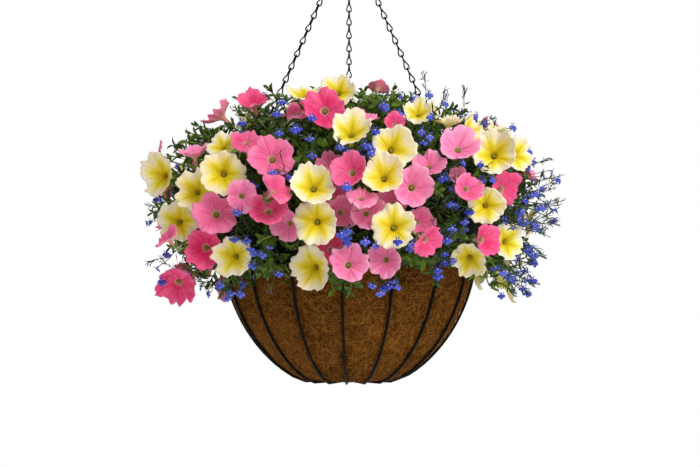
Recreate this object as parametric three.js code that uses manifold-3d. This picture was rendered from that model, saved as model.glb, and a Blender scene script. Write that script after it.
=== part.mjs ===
// A petunia hanging basket: a wire basket with a coir liner and potting soil, planted with yellow and pink
// petunias and blue lobelia, hung on three chains from a wire hook.
// Millimetres, +Z up, the front towards -Y. The origin is the point where the hook bears on its bracket.

import * as THREE from "three";
import { mergeVertices } from "three/addons/utils/BufferGeometryUtils.js";
import Module from "manifold-3d";

const wasm = await Module();
wasm.setup();
const { Manifold } = wasm;

// Driving dimensions of the basket and its hanger
const RIM_RADIUS = 180; // to the middle of the rim wire
const BASKET_DEPTH = 211;
const BASE_RADIUS = 64; // of the flat bottom
const WALL_CURVE = 2.25; // how quickly the wall turns upright
const WALL_ROUNDING = 0.72; // less than 1 rounds the wall into the bottom
const RIB_COUNT = 16;
const RIB_TURN = -3; // degrees from the front to the nearest rib
const RIB_WIRE = 1.75; // wire radii
const RIM_WIRE = 2.4;
const HOOK_WIRE = 2.2;
const LINK_WIRE = 1;
const LINER_THICKNESS = 9;
const LINER_BELOW_RIM = 8;
const SOIL_BELOW_RIM = 20;
const HOOK_DROP = 88; // from the bearing point to the middle of the hook's eye
const CHAIN_DROP = 408; // from the eye to the rim
const CROOK_RADIUS = 15; // inside the hook's crook
const EYE_RADIUS = 11;
const LINK_PITCH = 20;
const FIT = 0.4; // gap between pieces that touch

const RIM_Z = -HOOK_DROP - CHAIN_DROP;
const BASE_Z = RIM_Z - BASKET_DEPTH;

// The plants fill a mound, and a smaller green core carries their leaves. Both are ellipsoids round the
// basket's axis: a radius, a height above and below their middle, and how far that middle is above the
// rim.
const MOUND = { radius: 285, rise: 170, drop: 260, lift: 45 };
const CORE = { radius: 212, rise: 100, drop: 300, lift: 35, below: 48 };

// The picture that the planting follows was taken level, from this far in front and this far below the rim.
const VIEW_DISTANCE = 2600;
const VIEW_BELOW_RIM = 6;

// Blooms as the picture shows them, those in front first: how far right of the axis and above the rim the
// middle of the bloom is seen, the way it faces (degrees turned to the right, degrees lifted), its width,
// and how far it stands in front of the mound, where it isn't on it.
const YELLOW_BLOOMS = [
  [-178, 79, -5, 5, 60], [-46, 10, -5, 0, 60], [48, 76, -5, 20, 56], [64, 6, 5, 15, 60],
  [-267, 75, -36, 0, 60], [193, 33, 5, 0, 50], [204, 107, 0, 15, 60], [-165, -38, -25, 0, 56],
  [-56, -57, -35, -10, 60], [168, -46, -10, -30, 52], [3, 141, 0, 40, 56], [-50, 64, 0, 30, 58],
  [227, -18, 35, 0, 54], [62, 114, 10, 10, 58], [-217, 54, -15, 10, 56], [-241, 10, -10, 0, 58],
  [-15, 196, 0, 25, 50], [-64, 195, -10, 60, 46], [97, 167, 0, 45, 42], [-179, 121, -20, 45, 44],
  [139, 155, 0, 75, 42], [241, 104, 40, 5, 52], [211, 141, 30, 70, 38], [175, 139, 55, 10, 46],
];
const PINK_BLOOMS = [
  [-108, 104, 0, 25, 60], [90, 60, 5, 5, 56], [-1, -47, 0, 15, 53], [48, -43, -20, 0, 47],
  [-203, -26, -10, 0, 54], [-242, -82, -15, -35, 58], [-34, 171, 0, 20, 58], [155, 120, 10, 38, 56],
  [-188, 26, -5, 20, 60], [27, 24, 10, 10, 46, -22], [-252, -8, -60, 45, 38, 60], [-113, 31, 0, 30, 50],
  [-151, 45, 0, -5, 44], [223, 55, 42, -5, 54], [191, -15, 40, 0, 46, 24], [113, 93, 0, 30, 44],
  [-216, 110, -10, 70, 42], [-144, 129, 0, 55, 44], [-185, 163, -85, 40, 46], [-136, 181, -20, 50, 46],
  [-274, 107, -80, 25, 44], [-76, 176, -30, 50, 44, -40], [-90, 6, -30, -10, 46], [-100, 59, 50, 40, 44],
  [104, 10, 40, 0, 42], [112, -18, 40, -20, 42], [170, 60, 35, 20, 42], [1, 83, -20, 20, 50],
  [18, 50, 10, 50, 40], [-8, 26, 20, 10, 46, -42], [-24, 48, 0, 30, 44, -45], [62, 40, -10, 20, 44, -45],
  [-26, -26, 0, 15, 44, -48], [-27, 98, 0, 45, 40], [22, 163, 40, 60, 40], [64, 150, 0, 30, 28],
  [42, 200, 150, 50, 30], [155, 78, 0, 20, 26],
];
// Lobelia sprays as the picture shows them: right of the axis, above the rim.
const LOBELIA_SPRAYS = [
  [-66, 136], [25, 112], [120, 172], [140, 34], [266, 74], [272, 20], [236, -52], [-210, -62],
];

// The sides and the back, which the picture doesn't show, are planted by rule.
const HIDDEN_MOUND = { radius: 264, rise: 134, drop: 250, lift: 45 };
const HIDDEN_SPOTS = 150;
const HIDDEN_SPACING = 69;
const HIDDEN_FROM_Y = -45; // the picture's own blooms cover what is in front of this
const YELLOW_SHARE = 0.42;
const HIDDEN_LOBELIA = [[40, 100], [140, 80]]; // azimuth from +X, height above the rim

const BLOOM_WIDTH = 60; // the width that the bloom's own profile is drawn for
const FULL_BLOOM = 59; // lobes of blooms wider than this are drawn rounder
const THROAT = { radius: 6.6, depth: 13 };
const TUBE_DEPTH = 36;
const PETAL_CLEARANCE = 2;
const SETTLE_STEPS = [0, -7, -14, 7, -21, 14, -28, 21, -35, 28];
const STEM = 2.8;
const TRUSS_SIZE = 6;
const TRUSS_REACH = 165;
const JOINT_SHARES = [1.12, 1.05, 1.2, 1.01]; // how far out in the core's shell a truss may branch
const JOINT_MOVES = [[0, 30], [0, -30], [30, 0], [-30, 0], [30, 30], [-30, 30]]; // and beside its middle
const SPRAY = { flowers: 6, width: 17, spread: 46, stem: 1.8 };
const LEAF = { spots: 136, length: 72, width: 36, thickness: 1.6, sunk: 13, droop: 0.12 };
const CHAIN_CLEARANCE = 7;
const CORRIDOR = 10.5; // radius of the four-sided way that each chain has through the leaves

const TURN = 2 * Math.PI;
const GOLDEN_TURN = Math.PI * (3 - Math.sqrt(5));
const vec = (x, y, z) => new THREE.Vector3(x, y, z);
const radians = THREE.MathUtils.degToRad;
const count = (length, make) => Array.from({ length }, (_, k) => make(k));
const around = (radius, azimuth, z) => vec(radius * Math.cos(azimuth), radius * Math.sin(azimuth), z);

// Repeatable draws from 0 to 1
function draws(seed) {
  let state = seed;
  return () => {
    state = (state * 16807) % 2147483647;
    return state / 2147483647;
  };
}

// A closed geometry as a solid, with its faces turned outwards
function solidOf(geometry) {
  const bare = new THREE.BufferGeometry().setAttribute("position", geometry.getAttribute("position"));
  bare.setIndex(geometry.index);
  const merged = mergeVertices(bare, 1e-4);
  const points = merged.getAttribute("position");
  const faces = [];
  let volume = 0;
  for (let i = 0; i < merged.index.count; i += 3) {
    const face = [0, 1, 2].map((k) => merged.index.getX(i + k));
    if (new Set(face).size < 3) continue;
    const [a, b, c] = face.map((index) => vec().fromBufferAttribute(points, index));
    volume += a.dot(b.cross(c));
    faces.push(face);
  }
  if (volume < 0) faces.forEach((face) => face.reverse());
  const triVerts = new Uint32Array(faces.flat());
  return new Manifold(new wasm.Mesh({ numProp: 3, vertProperties: points.array, triVerts }));
}

function geometryOf(solid) {
  const { vertProperties, triVerts } = solid.getMesh();
  const geometry = new THREE.BufferGeometry();
  geometry.setAttribute("position", new THREE.BufferAttribute(vertProperties, 3));
  geometry.setIndex(new THREE.BufferAttribute(triVerts, 1));
  return geometry;
}

const largestPiece = (solid) => solid.decompose().reduce((a, b) => (a.volume() > b.volume() ? a : b));

function materialOf(colour, roughness, metalness = 0) {
  return new THREE.MeshStandardMaterial({ color: colour, roughness, metalness, flatShading: true });
}
const COATED_WIRE = materialOf(0x1d2a22, 0.45, 0.5);
const COIR = materialOf(0x6b4423, 1);
const SOIL = materialOf(0x2a1c12, 1);
const FOLIAGE = materialOf(0x2f5a1e, 0.7);
const YELLOW = materialOf(0xf2e48a, 0.6);
const PINK = materialOf(0xee5f93, 0.6);
const BLUE = materialOf(0x3f4fcf, 0.6);

const basket = new THREE.Group();
function add(name, solid, material) {
  const mesh = new THREE.Mesh(geometryOf(solid), material);
  mesh.name = name;
  basket.add(mesh);
}

// Rods, rings and turned bodies

function rod(path, radius, sides, steps) {
  const corners = count(sides, (k) => around(radius, (TURN * (k + 0.5)) / sides, 0));
  const section = new THREE.Shape(corners.map(({ x, y }) => new THREE.Vector2(x, y)));
  return solidOf(new THREE.ExtrudeGeometry(section, { steps, extrudePath: path }));
}

const smooth = (points) => new THREE.CatmullRomCurve3(points, false, "centripetal");

function straight(points) {
  const path = new THREE.CurvePath();
  points.slice(1).forEach((point, k) => path.add(new THREE.LineCurve3(points[k], point)));
  return path;
}

// A body of revolution from a profile of [radius, height] pairs that starts and ends on the axis
function turned(profile, segments) {
  const points = profile.map(([radius, z]) => new THREE.Vector2(radius, z));
  const body = new THREE.LatheGeometry(points, segments).rotateX(Math.PI / 2);
  return solidOf(body.rotateZ(radians(RIB_TURN)));
}

// The basket's wall, liner and soil. The wall's line climbs from the flat bottom to the rim in equal
// steps, and one more such step along the bottom takes each rib to the ring that they all end in.

const WALL_STEPS = 6;
const wallRadius = (share) => {
  const spread = (1 - (1 - share) ** WALL_CURVE) ** WALL_ROUNDING;
  return BASE_RADIUS + (RIM_RADIUS - BASE_RADIUS) * spread;
};
const wallPoint = (share) => new THREE.Vector2(wallRadius(share), BASE_Z + share * BASKET_DEPTH);
const WALL = new THREE.SplineCurve(count(25, (k) => wallPoint(k / 24))).getSpacedPoints(WALL_STEPS);
const HUB_RADIUS = BASE_RADIUS - WALL[0].distanceTo(WALL[1]);

// The wall's line moved inwards and cut off at top, as [radius, height] pairs
function wallInside(inset, top, wall) {
  const line = wall.map((point, k) => {
    const along = wall[Math.min(k + 1, wall.length - 1)].clone().sub(wall[Math.max(k - 1, 0)]).normalize();
    return [point.x - along.y * inset, Math.max(point.y + along.x * inset, BASE_Z + inset)];
  });
  const above = line.findIndex(([, z]) => z > top);
  const [below, over] = [line[above - 1], line[above]];
  const share = (top - below[1]) / (over[1] - below[1]);
  return [...line.slice(0, above), [THREE.MathUtils.lerp(below[0], over[0], share), top]];
}

function wireBasket() {
  const rim = new THREE.TorusGeometry(RIM_RADIUS, RIM_WIRE, 5, 24).translate(0, 0, RIM_Z);
  const hub = new THREE.TorusGeometry(HUB_RADIUS, RIB_WIRE, 4, RIB_COUNT).rotateZ(radians(RIB_TURN - 90));
  const ribs = count(RIB_COUNT, (k) => {
    const azimuth = radians(RIB_TURN - 90) + (TURN * k) / RIB_COUNT;
    const line = [new THREE.Vector2(HUB_RADIUS, BASE_Z), ...WALL];
    return rod(straight(line.map(({ x, y }) => around(x, azimuth, y))), RIB_WIRE, 4, WALL_STEPS + 1);
  });
  return Manifold.union([solidOf(rim), solidOf(hub.translate(0, 0, BASE_Z)), ...ribs]);
}

const LINER_INSET = RIB_WIRE + 2 * FIT;
const LINER_SEGMENTS = 2 * RIB_COUNT;
const WALL_INSIDE = WALL.filter((_, k) => k % 2 === 0 || k === WALL_STEPS); // a plainer line does inside

function coirLiner() {
  const outer = wallInside(LINER_INSET, RIM_Z - LINER_BELOW_RIM, WALL);
  const inner = wallInside(LINER_INSET + LINER_THICKNESS, RIM_Z - LINER_BELOW_RIM, WALL_INSIDE).reverse();
  return turned([[0, outer[0][1]], ...outer, ...inner, [0, inner.at(-1)[1]]], LINER_SEGMENTS);
}

// The crowns of the plants: one in the middle and a ring of five
const CROWNS = [vec(0, 0, 0), ...count(5, (k) => around(0.6 * RIM_RADIUS, (TURN * k) / 5, 0))];
const CROWN = { radius: 7, depth: 26, top: 10 };

function crown(at, grow) {
  const bottom = RIM_Z - SOIL_BELOW_RIM - CROWN.depth - grow;
  const height = RIM_Z + CROWN.top - bottom;
  const stem = new THREE.CylinderGeometry(CROWN.radius + grow, CROWN.radius + grow, height, 6);
  return solidOf(stem.rotateX(Math.PI / 2).translate(at.x, at.y, bottom + height / 2));
}

function pottingSoil() {
  const side = wallInside(LINER_INSET + LINER_THICKNESS + FIT, RIM_Z - SOIL_BELOW_RIM, WALL_INSIDE);
  const body = turned([[0, side[0][1]], ...side, [0, RIM_Z - SOIL_BELOW_RIM]], LINER_SEGMENTS);
  return body.subtract(Manifold.union(CROWNS.map((at) => crown(at, FIT))));
}

// The hanger

function hangerHook() {
  const crookRadius = CROOK_RADIUS + HOOK_WIRE;
  const arc = [195, 150, 105, 60, 15, -30].map((angle) =>
    vec(crookRadius * Math.cos(radians(angle)), 0, crookRadius * Math.sin(radians(angle)) - CROOK_RADIUS),
  );
  const shank = [vec(3, 0, -40), vec(0, 0, -52), vec(0, 0, -HOOK_DROP + EYE_RADIUS)];
  const eye = new THREE.TorusGeometry(EYE_RADIUS, HOOK_WIRE, 6, 12).rotateX(Math.PI / 2);
  return rod(smooth([...arc, ...shank]), HOOK_WIRE, 6, 16).add(solidOf(eye.translate(0, 0, -HOOK_DROP)));
}

// Each chain leaves the hook's eye at its own place on the wire, and the plants push it a little outwards
// on its way to the rim.
const CHAINS = [
  { name: "chain_left", azimuth: radians(210), eyeX: -3.8 },
  { name: "chain_right", azimuth: radians(330), eyeX: 3.8 },
  { name: "chain_back", azimuth: radians(90), eyeX: 0 },
];
const CHAIN_PUSH = { height: 118, outwards: 16 };
const LINK_WIDTH = 9;
const END_LINK_WIDTH = 12;

function chainPath({ azimuth, eyeX }) {
  const outward = around(1, azimuth, 0);
  const eyeBottom = Math.sqrt(EYE_RADIUS ** 2 - eyeX ** 2) - HOOK_WIRE;
  const top = vec(eyeX, 0, -HOOK_DROP - eyeBottom + 2 * FIT + LINK_WIRE);
  const foot = around(RIM_RADIUS, azimuth, RIM_Z - RIM_WIRE - FIT - LINK_WIRE);
  const knee = top.clone().lerp(foot, 1 - CHAIN_PUSH.height / CHAIN_DROP);
  return straight([top, knee.addScaledVector(outward, CHAIN_PUSH.outwards), foot]);
}

// One chain link: a four-cornered ring, its wire lying in the plane square to normal
function link(centre, along, normal, length, width) {
  const geometry = new THREE.TorusGeometry(Math.SQRT2, 1.25 * LINK_WIRE, 3, 4).rotateZ(TURN / 8);
  const points = geometry.getAttribute("position");
  for (let i = 0; i < points.count; i++) {
    const [x, y] = [points.getX(i), points.getY(i)];
    points.setXY(i, x + Math.sign(x) * (length / 2 - 1), y + Math.sign(y) * (width / 2 - 1));
  }
  const flat = normal.clone().addScaledVector(along, -normal.dot(along)).normalize();
  const basis = new THREE.Matrix4().makeBasis(along, flat.clone().cross(along), flat).setPosition(centre);
  return solidOf(geometry.applyMatrix4(basis));
}

function chain(place) {
  const path = chainPath(place);
  const links = Math.round(path.getLength() / LINK_PITCH);
  const pitch = path.getLength() / links;
  const sideways = around(1, place.azimuth + TURN / 4, 0);
  const solids = count(links, (k) => {
    const [from, to] = [path.getPointAt(k / links), path.getPointAt((k + 1) / links)];
    const along = to.clone().sub(from).normalize();
    const turnedOver = (links - 1 - k) % 2 ? sideways.clone().cross(along) : sideways;
    const normal = k === 0 ? vec(1, 0, 0) : turnedOver;
    const width = k === 0 || k === links - 1 ? END_LINK_WIDTH : LINK_WIDTH;
    return link(from.lerp(to, 0.5), along, normal, pitch - LINK_WIRE, width - 2 * LINK_WIRE);
  });
  return Manifold.union(solids);
}

const chainLines = CHAINS.map((place) => chainPath(place).getSpacedPoints(90));

// Where the plants are

// A flower's form, drawn for one of BLOOM_WIDTH: its lobes out to edge and in to notch, how much they
// wave, the ring behind its throat, the depth of its heart in front, the length of its tube, and the
// radius of its stalk as it is
const PETUNIA = {
  lobes: 5, edge: 30, notch: 26, wave: 1.4, throat: 7.6, depth: 14.5, heart: 16, tube: TUBE_DEPTH, stalk: 1.3,
};
const LOBELIA = { lobes: 3, edge: 30, notch: 13, wave: 3, throat: 0, heart: 0, tube: 12, stalk: 0.9 };

// How far out a point is in a shell: 1 on its surface
function reach(shell, point) {
  const up = point.z - RIM_Z - shell.lift;
  return Math.hypot(Math.hypot(point.x, point.y) / shell.radius, up / (up > 0 ? shell.rise : shell.drop));
}

function onShell(shell, point, share) {
  const centre = vec(0, 0, RIM_Z + shell.lift);
  return centre.clone().lerp(point, share / reach(shell, point));
}

// The place in the core where the stem to a point outside it starts
function rootFor(point) {
  const lowest = RIM_Z - CORE.below + 8;
  const root = onShell(CORE, point, 0.93);
  return root.z > lowest ? root : onShell(CORE, point.clone().setZ(lowest), 0.97).setZ(lowest);
}

// The point of the mound seen at x right of the axis and z above the rim
function seenOnMound(x, z) {
  const eye = vec(0, -VIEW_DISTANCE, RIM_Z - VIEW_BELOW_RIM);
  const target = vec(x, 0, RIM_Z + z);
  const shares = count(116, (k) => 0.87 + 0.001 * k);
  const found = shares.find((share) => reach(MOUND, eye.clone().lerp(target, share)) <= 1);
  return eye.lerp(target, found ?? shares.at(-1));
}

function bloomAt(colour, start, turn, lift, width, push, spin) {
  const out = vec(Math.sin(turn) * Math.cos(lift), -Math.cos(turn) * Math.cos(lift), Math.sin(lift));
  const side = vec(Math.cos(turn), Math.sin(turn), 0);
  const form = colour === "lobelia" ? LOBELIA : PETUNIA;
  return { colour, form, start, centre: start, out, side, over: out.clone().cross(side), width, push, spin };
}

// The direction in the plane of a flower's rim at an azimuth round its own axis
function armOf(flower, azimuth) {
  const angle = azimuth + flower.spin;
  return flower.side.clone().multiplyScalar(Math.cos(angle)).addScaledVector(flower.over, Math.sin(angle));
}

// A point in the flower's own frame, drawn for one of BLOOM_WIDTH: round its axis, out from it, and in
// front of the petals' rim
function flowerPoint(flower, azimuth, radius, height) {
  const scale = flower.width / BLOOM_WIDTH;
  return flower.centre
    .clone()
    .addScaledVector(armOf(flower, azimuth), radius * scale)
    .addScaledVector(flower.out, height * scale);
}

const tubeEnd = (flower) => flowerPoint(flower, 0, 0, -flower.form.tube);

const samples = (from, to) => count(13, (k) => from.clone().lerp(to, k / 12));

// On which side of a bloom's funnel a point is: 1 in front, -1 behind, 0 beside it, and null where it
// touches
function sideOf(bloom, point, clearance) {
  const scale = bloom.width / BLOOM_WIDTH;
  const offset = point.clone().sub(bloom.centre);
  const height = offset.dot(bloom.out) / scale;
  const radius = Math.sqrt(Math.max(offset.lengthSq() / scale ** 2 - height ** 2, 0));
  const edge = BLOOM_WIDTH / 2;
  if (radius > edge) return Math.hypot(radius - edge, height) * scale < clearance ? null : 0;
  const inTube = radius < THROAT.radius;
  const slope = inTube ? (TUBE_DEPTH - THROAT.depth) / THROAT.radius : THROAT.depth / (edge - THROAT.radius);
  const surface = inTube ? radius * slope - TUBE_DEPTH : (radius - edge) * slope;
  const gap = ((height - surface) * scale) / Math.hypot(1, slope);
  return Math.abs(gap) < clearance ? null : Math.sign(gap);
}

function crosses(bloom, line, clearance = PETAL_CLEARANCE) {
  let last = 0;
  for (const point of line) {
    const side = sideOf(bloom, point, clearance);
    if (side === null || side * last < 0) return true;
    last = side;
  }
  return false;
}

const MERIDIAN = [[0, -TUBE_DEPTH], [3.3, -24.5], [6.6, -13], [14, -9], [22, -4.5], [30, 0]];

// The lines that stand for a bloom when others keep clear of it: its petals, and the way of its stalk to
// the core
function linesOf(bloom) {
  const rim = count(25, (k) => flowerPoint(bloom, (TURN * k) / 24, BLOOM_WIDTH / 2, 0));
  const meridian = (angle) => MERIDIAN.map(([radius, z]) => flowerPoint(bloom, angle, radius, z));
  const petals = count(10, (k) => meridian((TURN * k) / 10));
  const stalk = samples(tubeEnd(bloom), rootFor(flowerPoint(bloom, 0, 0, -TUBE_DEPTH - 20)));
  return { petals: [...petals, rim], stalk: [stalk] };
}

const inBasket = (point) => point.z < RIM_Z + 8 && Math.hypot(point.x, point.y) < RIM_RADIUS + 12;
const nearChain = (line, clearance) =>
  chainLines.some((chainLine) => chainLine.some((a) => line.some((b) => a.distanceTo(b) < clearance)));

function isFree(bloom, others, parts) {
  const own = parts.flatMap((part) => linesOf(bloom)[part]);
  if (own.some((line) => line.some(inBasket))) return false;
  if (chainLines.some((line) => crosses(bloom, line, CHAIN_CLEARANCE))) return false;
  const near = others.filter((other) => other.centre.distanceTo(bloom.centre) < 2 * BLOOM_WIDTH);
  return !near.some((other) => {
    const theirs = parts.flatMap((part) => linesOf(other)[part]);
    return own.some((line) => crosses(other, line)) || theirs.some((line) => crosses(bloom, line));
  });
}

// Each bloom slides along its push until it clears those placed before it, with its stalk too where it can.
function settle(blooms) {
  blooms.forEach((bloom, index) => {
    const fits = (parts) => (step) => {
      bloom.centre = bloom.start.clone().addScaledVector(bloom.push, step);
      return isFree(bloom, blooms.slice(0, index), parts);
    };
    if (SETTLE_STEPS.some(fits(["petals", "stalk"])) || SETTLE_STEPS.some(fits(["petals"]))) return;
    bloom.centre = bloom.start;
  });
  return blooms;
}

function frontBlooms() {
  const next = draws(11);
  const forward = vec(0, -1, 0);
  const make = (colour) => ([x, z, turn, lift, width, ahead = 0]) => {
    const start = seenOnMound(x, z).addScaledVector(forward, ahead);
    return bloomAt(colour, start, radians(turn), radians(lift), width, forward, next() * TURN);
  };
  return [...YELLOW_BLOOMS.map(make("yellow")), ...PINK_BLOOMS.map(make("pink"))];
}

// One of a number of spots spread evenly over a shell, from its top down to lowest, a share of its drop
function spot(shell, index, total, lowest) {
  const height = 1 - ((index + 0.5) / total) * (1 + lowest);
  const across = around(Math.sqrt(1 - height ** 2), index * GOLDEN_TURN, 0);
  const z = RIM_Z + shell.lift + height * (height > 0 ? shell.rise : shell.drop);
  return across.multiplyScalar(shell.radius).setZ(z);
}

function hiddenBlooms(front) {
  const next = draws(29);
  const placed = [...front];
  for (let k = 0; k < HIDDEN_SPOTS; k++) {
    const [colourDraw, turnDraw, liftDraw, widthDraw, spinDraw] = count(5, next);
    const at = spot(HIDDEN_MOUND, k, HIDDEN_SPOTS, 0.55);
    const isOpen = placed.every((other) => other.centre.distanceTo(at) > HIDDEN_SPACING);
    const overTop = Math.max(at.z - RIM_Z - 140, 0);
    if (at.y < HIDDEN_FROM_Y - overTop || !isOpen) continue;
    const outward = at.clone().sub(vec(0, 0, RIM_Z + MOUND.lift)).normalize();
    const turn = Math.atan2(outward.x, -outward.y) + 0.7 * (turnDraw - 0.5);
    const lift = Math.asin(outward.z) * 0.7 + 0.7 * (liftDraw - 0.4);
    const colour = colourDraw < YELLOW_SHARE ? "yellow" : "pink";
    placed.push(bloomAt(colour, at, turn, lift, 50 + 11 * widthDraw, outward, spinDraw * TURN));
  }
  return placed.slice(front.length);
}

// Flowers

// One flower: a thin funnel of rounded lobes, its tube narrowing to a three-sided stalk that runs to end.
// grow thickens it all over, to cut its room out of others.
function flowerSolid(flower, end, grow) {
  const { form } = flower;
  const swell = (grow * BLOOM_WIDTH) / flower.width;
  const lobe = TURN / form.lobes;
  const perLobe = flower.width > FULL_BLOOM ? 3 : 2;
  const points = [];
  const faces = [];
  const put = (point) => points.push(point) - 1;
  const rim = (lift) =>
    count(form.lobes * perLobe, (k) => {
      const isNotch = k % perLobe === 0;
      const wave = isNotch ? -form.wave : form.wave * Math.sin(k * 2.4 + flower.spin * 3);
      const radius = (isNotch ? form.notch : form.edge) + swell;
      return put(flowerPoint(flower, (k / perLobe - 0.5) * lobe, radius, wave + lift));
    });
  const strip = (outer, inner) => {
    const nearest = (k) => inner[Math.round((k * inner.length) / outer.length) % inner.length];
    outer.forEach((here, k) => {
      const next = outer[(k + 1) % outer.length];
      faces.push([here, nearest(k), next]);
      if (nearest(k) !== nearest(k + 1)) faces.push([next, nearest(k), nearest(k + 1)]);
    });
  };

  const back = flower.out.clone().negate();
  const base = tubeEnd(flower);
  const along = end.clone().sub(base).normalize();
  const stalkRing = (centre, direction) => {
    const bend = new THREE.Quaternion().setFromUnitVectors(back, direction);
    return count(3, (k) => {
      const arm = armOf(flower, (TURN * k) / 3 - lobe / 2).applyQuaternion(bend);
      return put(centre.clone().addScaledVector(arm, form.stalk + grow));
    });
  };
  const front = rim(swell);
  const behind = grow ? rim(-swell) : front;
  const throat = count(form.throat ? form.lobes : 0, (k) =>
    put(flowerPoint(flower, (k - 0.5) * lobe, form.throat + swell, -form.depth - swell)),
  );
  const start = stalkRing(base, back.clone().add(along).normalize());
  const tip = stalkRing(end.clone().addScaledVector(along, grow), along);
  const heart = put(flowerPoint(flower, 0, 0, -form.heart + swell));
  front.forEach((here, k) => faces.push([here, front[(k + 1) % front.length], heart]));
  if (grow) strip(front, behind);
  const rings = [behind, throat, start, tip].filter((ring) => ring.length);
  rings.slice(1).forEach((ring, k) => strip(rings[k], ring));
  faces.push([tip[0], tip[2], tip[1]]);
  const geometry = new THREE.BufferGeometry().setFromPoints(points);
  geometry.setIndex(faces.flat());
  return solidOf(geometry);
}

// A truss: flowers whose stalks run to their own ends on one stem, from the core to its tip
function trussSolid({ members, ends, tip, stem }, grow) {
  const root = rootFor(tip);
  const along = tip.clone().sub(root).normalize();
  const top = tip.clone().addScaledVector(along, stem / 2 + grow);
  const line = straight([root.addScaledVector(along, -grow), top]);
  const flowers = members.map((flower, k) => flowerSolid(flower, ends[k], grow));
  return Manifold.union([rod(line, stem + grow, 3, 1), ...flowers]);
}

function isOpen(line, blooms, clearance = PETAL_CLEARANCE) {
  if (line.some(inBasket) || nearChain(line, CHAIN_CLEARANCE)) return false;
  return !blooms.some((bloom) => crosses(bloom, line, clearance));
}

// A joint that the stalks of these blooms reach without crossing another bloom, if there is one
function jointFor(members, blooms) {
  const ends = members.map(tubeEnd);
  const middle = ends.reduce((sum, point) => sum.add(point), vec(0, 0, 0)).divideScalar(ends.length);
  const near = blooms.filter((bloom) => bloom.centre.distanceTo(middle) < TRUSS_REACH);
  const isClear = (joint) =>
    isOpen(samples(rootFor(joint), joint), near) &&
    members.every((bloom, k) => {
      const along = joint.clone().sub(ends[k]).normalize();
      const others = near.filter((other) => other !== bloom);
      return along.dot(bloom.out) < -0.1 && isOpen(samples(ends[k], joint), others);
    });
  const behind = members.map((bloom, k) => ends[k].clone().addScaledVector(bloom.out, -20));
  const beside = JOINT_MOVES.map(([x, z]) => middle.clone().add(vec(x, 0, z)));
  const places = [middle, ...behind, ...beside];
  return JOINT_SHARES.flatMap((share) => places.map((point) => onShell(CORE, point, share))).find(isClear);
}

const trussOf = (members, joint) => ({
  colour: members[0].colour,
  members,
  ends: members.map(() => joint),
  tip: joint,
  stem: STEM,
});

// The blooms of one colour that grow close together share a truss.
function petuniaTrusses(blooms) {
  const groups = blooms.map((bloom) => {
    const joint = jointFor([bloom], blooms) ?? onShell(CORE, tubeEnd(bloom), 1.12);
    return { members: [bloom], joint };
  });
  const refused = new Set();
  const keyOf = (a, b) => [...a.members, ...b.members].map((bloom) => blooms.indexOf(bloom)).join();
  const spread = (a, b) => {
    const all = [...a.members, ...b.members];
    const isMixed = all[0].colour !== all.at(-1).colour;
    if (all.length > TRUSS_SIZE || isMixed || refused.has(keyOf(a, b))) return Infinity;
    return Math.max(...all.flatMap((one) => all.map((other) => tubeEnd(one).distanceTo(tubeEnd(other)))));
  };
  for (;;) {
    let best = { size: TRUSS_REACH };
    groups.forEach((a, k) => {
      for (const b of groups.slice(k + 1)) {
        const size = spread(a, b);
        if (size < best.size) best = { size, a, b };
      }
    });
    if (!best.a) return groups.map(({ members, joint }) => trussOf(members, joint));
    const members = [...best.a.members, ...best.b.members];
    const joint = jointFor(members, blooms);
    if (joint) {
      groups.splice(groups.indexOf(best.b), 1);
      Object.assign(best.a, { members, joint });
    } else refused.add(keyOf(best.a, best.b));
  }
}

// A loose spray of lobelia: a stem out to a place on the mound, its flowers on stalks along it
function lobeliaSpray(at, blooms, next) {
  const near = blooms.filter((bloom) => bloom.centre.distanceTo(at) < TRUSS_REACH);
  const root = rootFor(at);
  const outward = at.clone().sub(root).normalize();
  const tip = at.clone().addScaledVector(outward, -SPRAY.width);
  const members = [];
  const ends = [];
  for (let tries = 0; tries < 90 && members.length < SPRAY.flowers; tries++) {
    const end = root.clone().lerp(tip, 1 - 0.09 * members.length);
    const swing = vec(next() - 0.5, next() - 0.5, next() - 0.5).multiplyScalar(2 * SPRAY.spread);
    const centre = at.clone().add(swing.addScaledVector(outward, -0.6 * swing.dot(outward)));
    const turn = Math.atan2(outward.x, -outward.y) + next() - 0.5;
    const lift = Math.asin(outward.z) + next() - 0.5;
    const flower = bloomAt("lobelia", centre, turn, lift, SPRAY.width, outward, next() * TURN);
    const line = samples(end, centre.clone().addScaledVector(flower.out, 4));
    const isApart = members.every((other) => other.centre.distanceTo(centre) > SPRAY.width * 1.3);
    const isTurned = centre.clone().sub(end).dot(flower.out) > 0;
    if (!isApart || !isTurned || !isOpen(line, near, SPRAY.width / 2)) continue;
    members.push(flower);
    ends.push(end);
  }
  return { colour: "lobelia", members, ends, tip, stem: SPRAY.stem };
}

// Leaves

// A pointed blade along the line from its root, arched away from out
function leafSolid({ root, along, out, length, width }) {
  const geometry = new THREE.SphereGeometry(1, 6, 2);
  const points = geometry.getAttribute("position");
  for (let i = 0; i < points.count; i++) {
    const share = (points.getX(i) + 1) / 2;
    const across = points.getZ(i);
    const rise = (points.getY(i) * LEAF.thickness) / 2 - length * LEAF.droop * share ** 2;
    points.setXYZ(i, length * share, rise + Math.abs(across) * width * 0.1, across * width * 0.58);
  }
  const basis = new THREE.Matrix4().makeBasis(along, out, along.clone().cross(out)).setPosition(root);
  return solidOf(geometry.applyMatrix4(basis));
}

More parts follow.
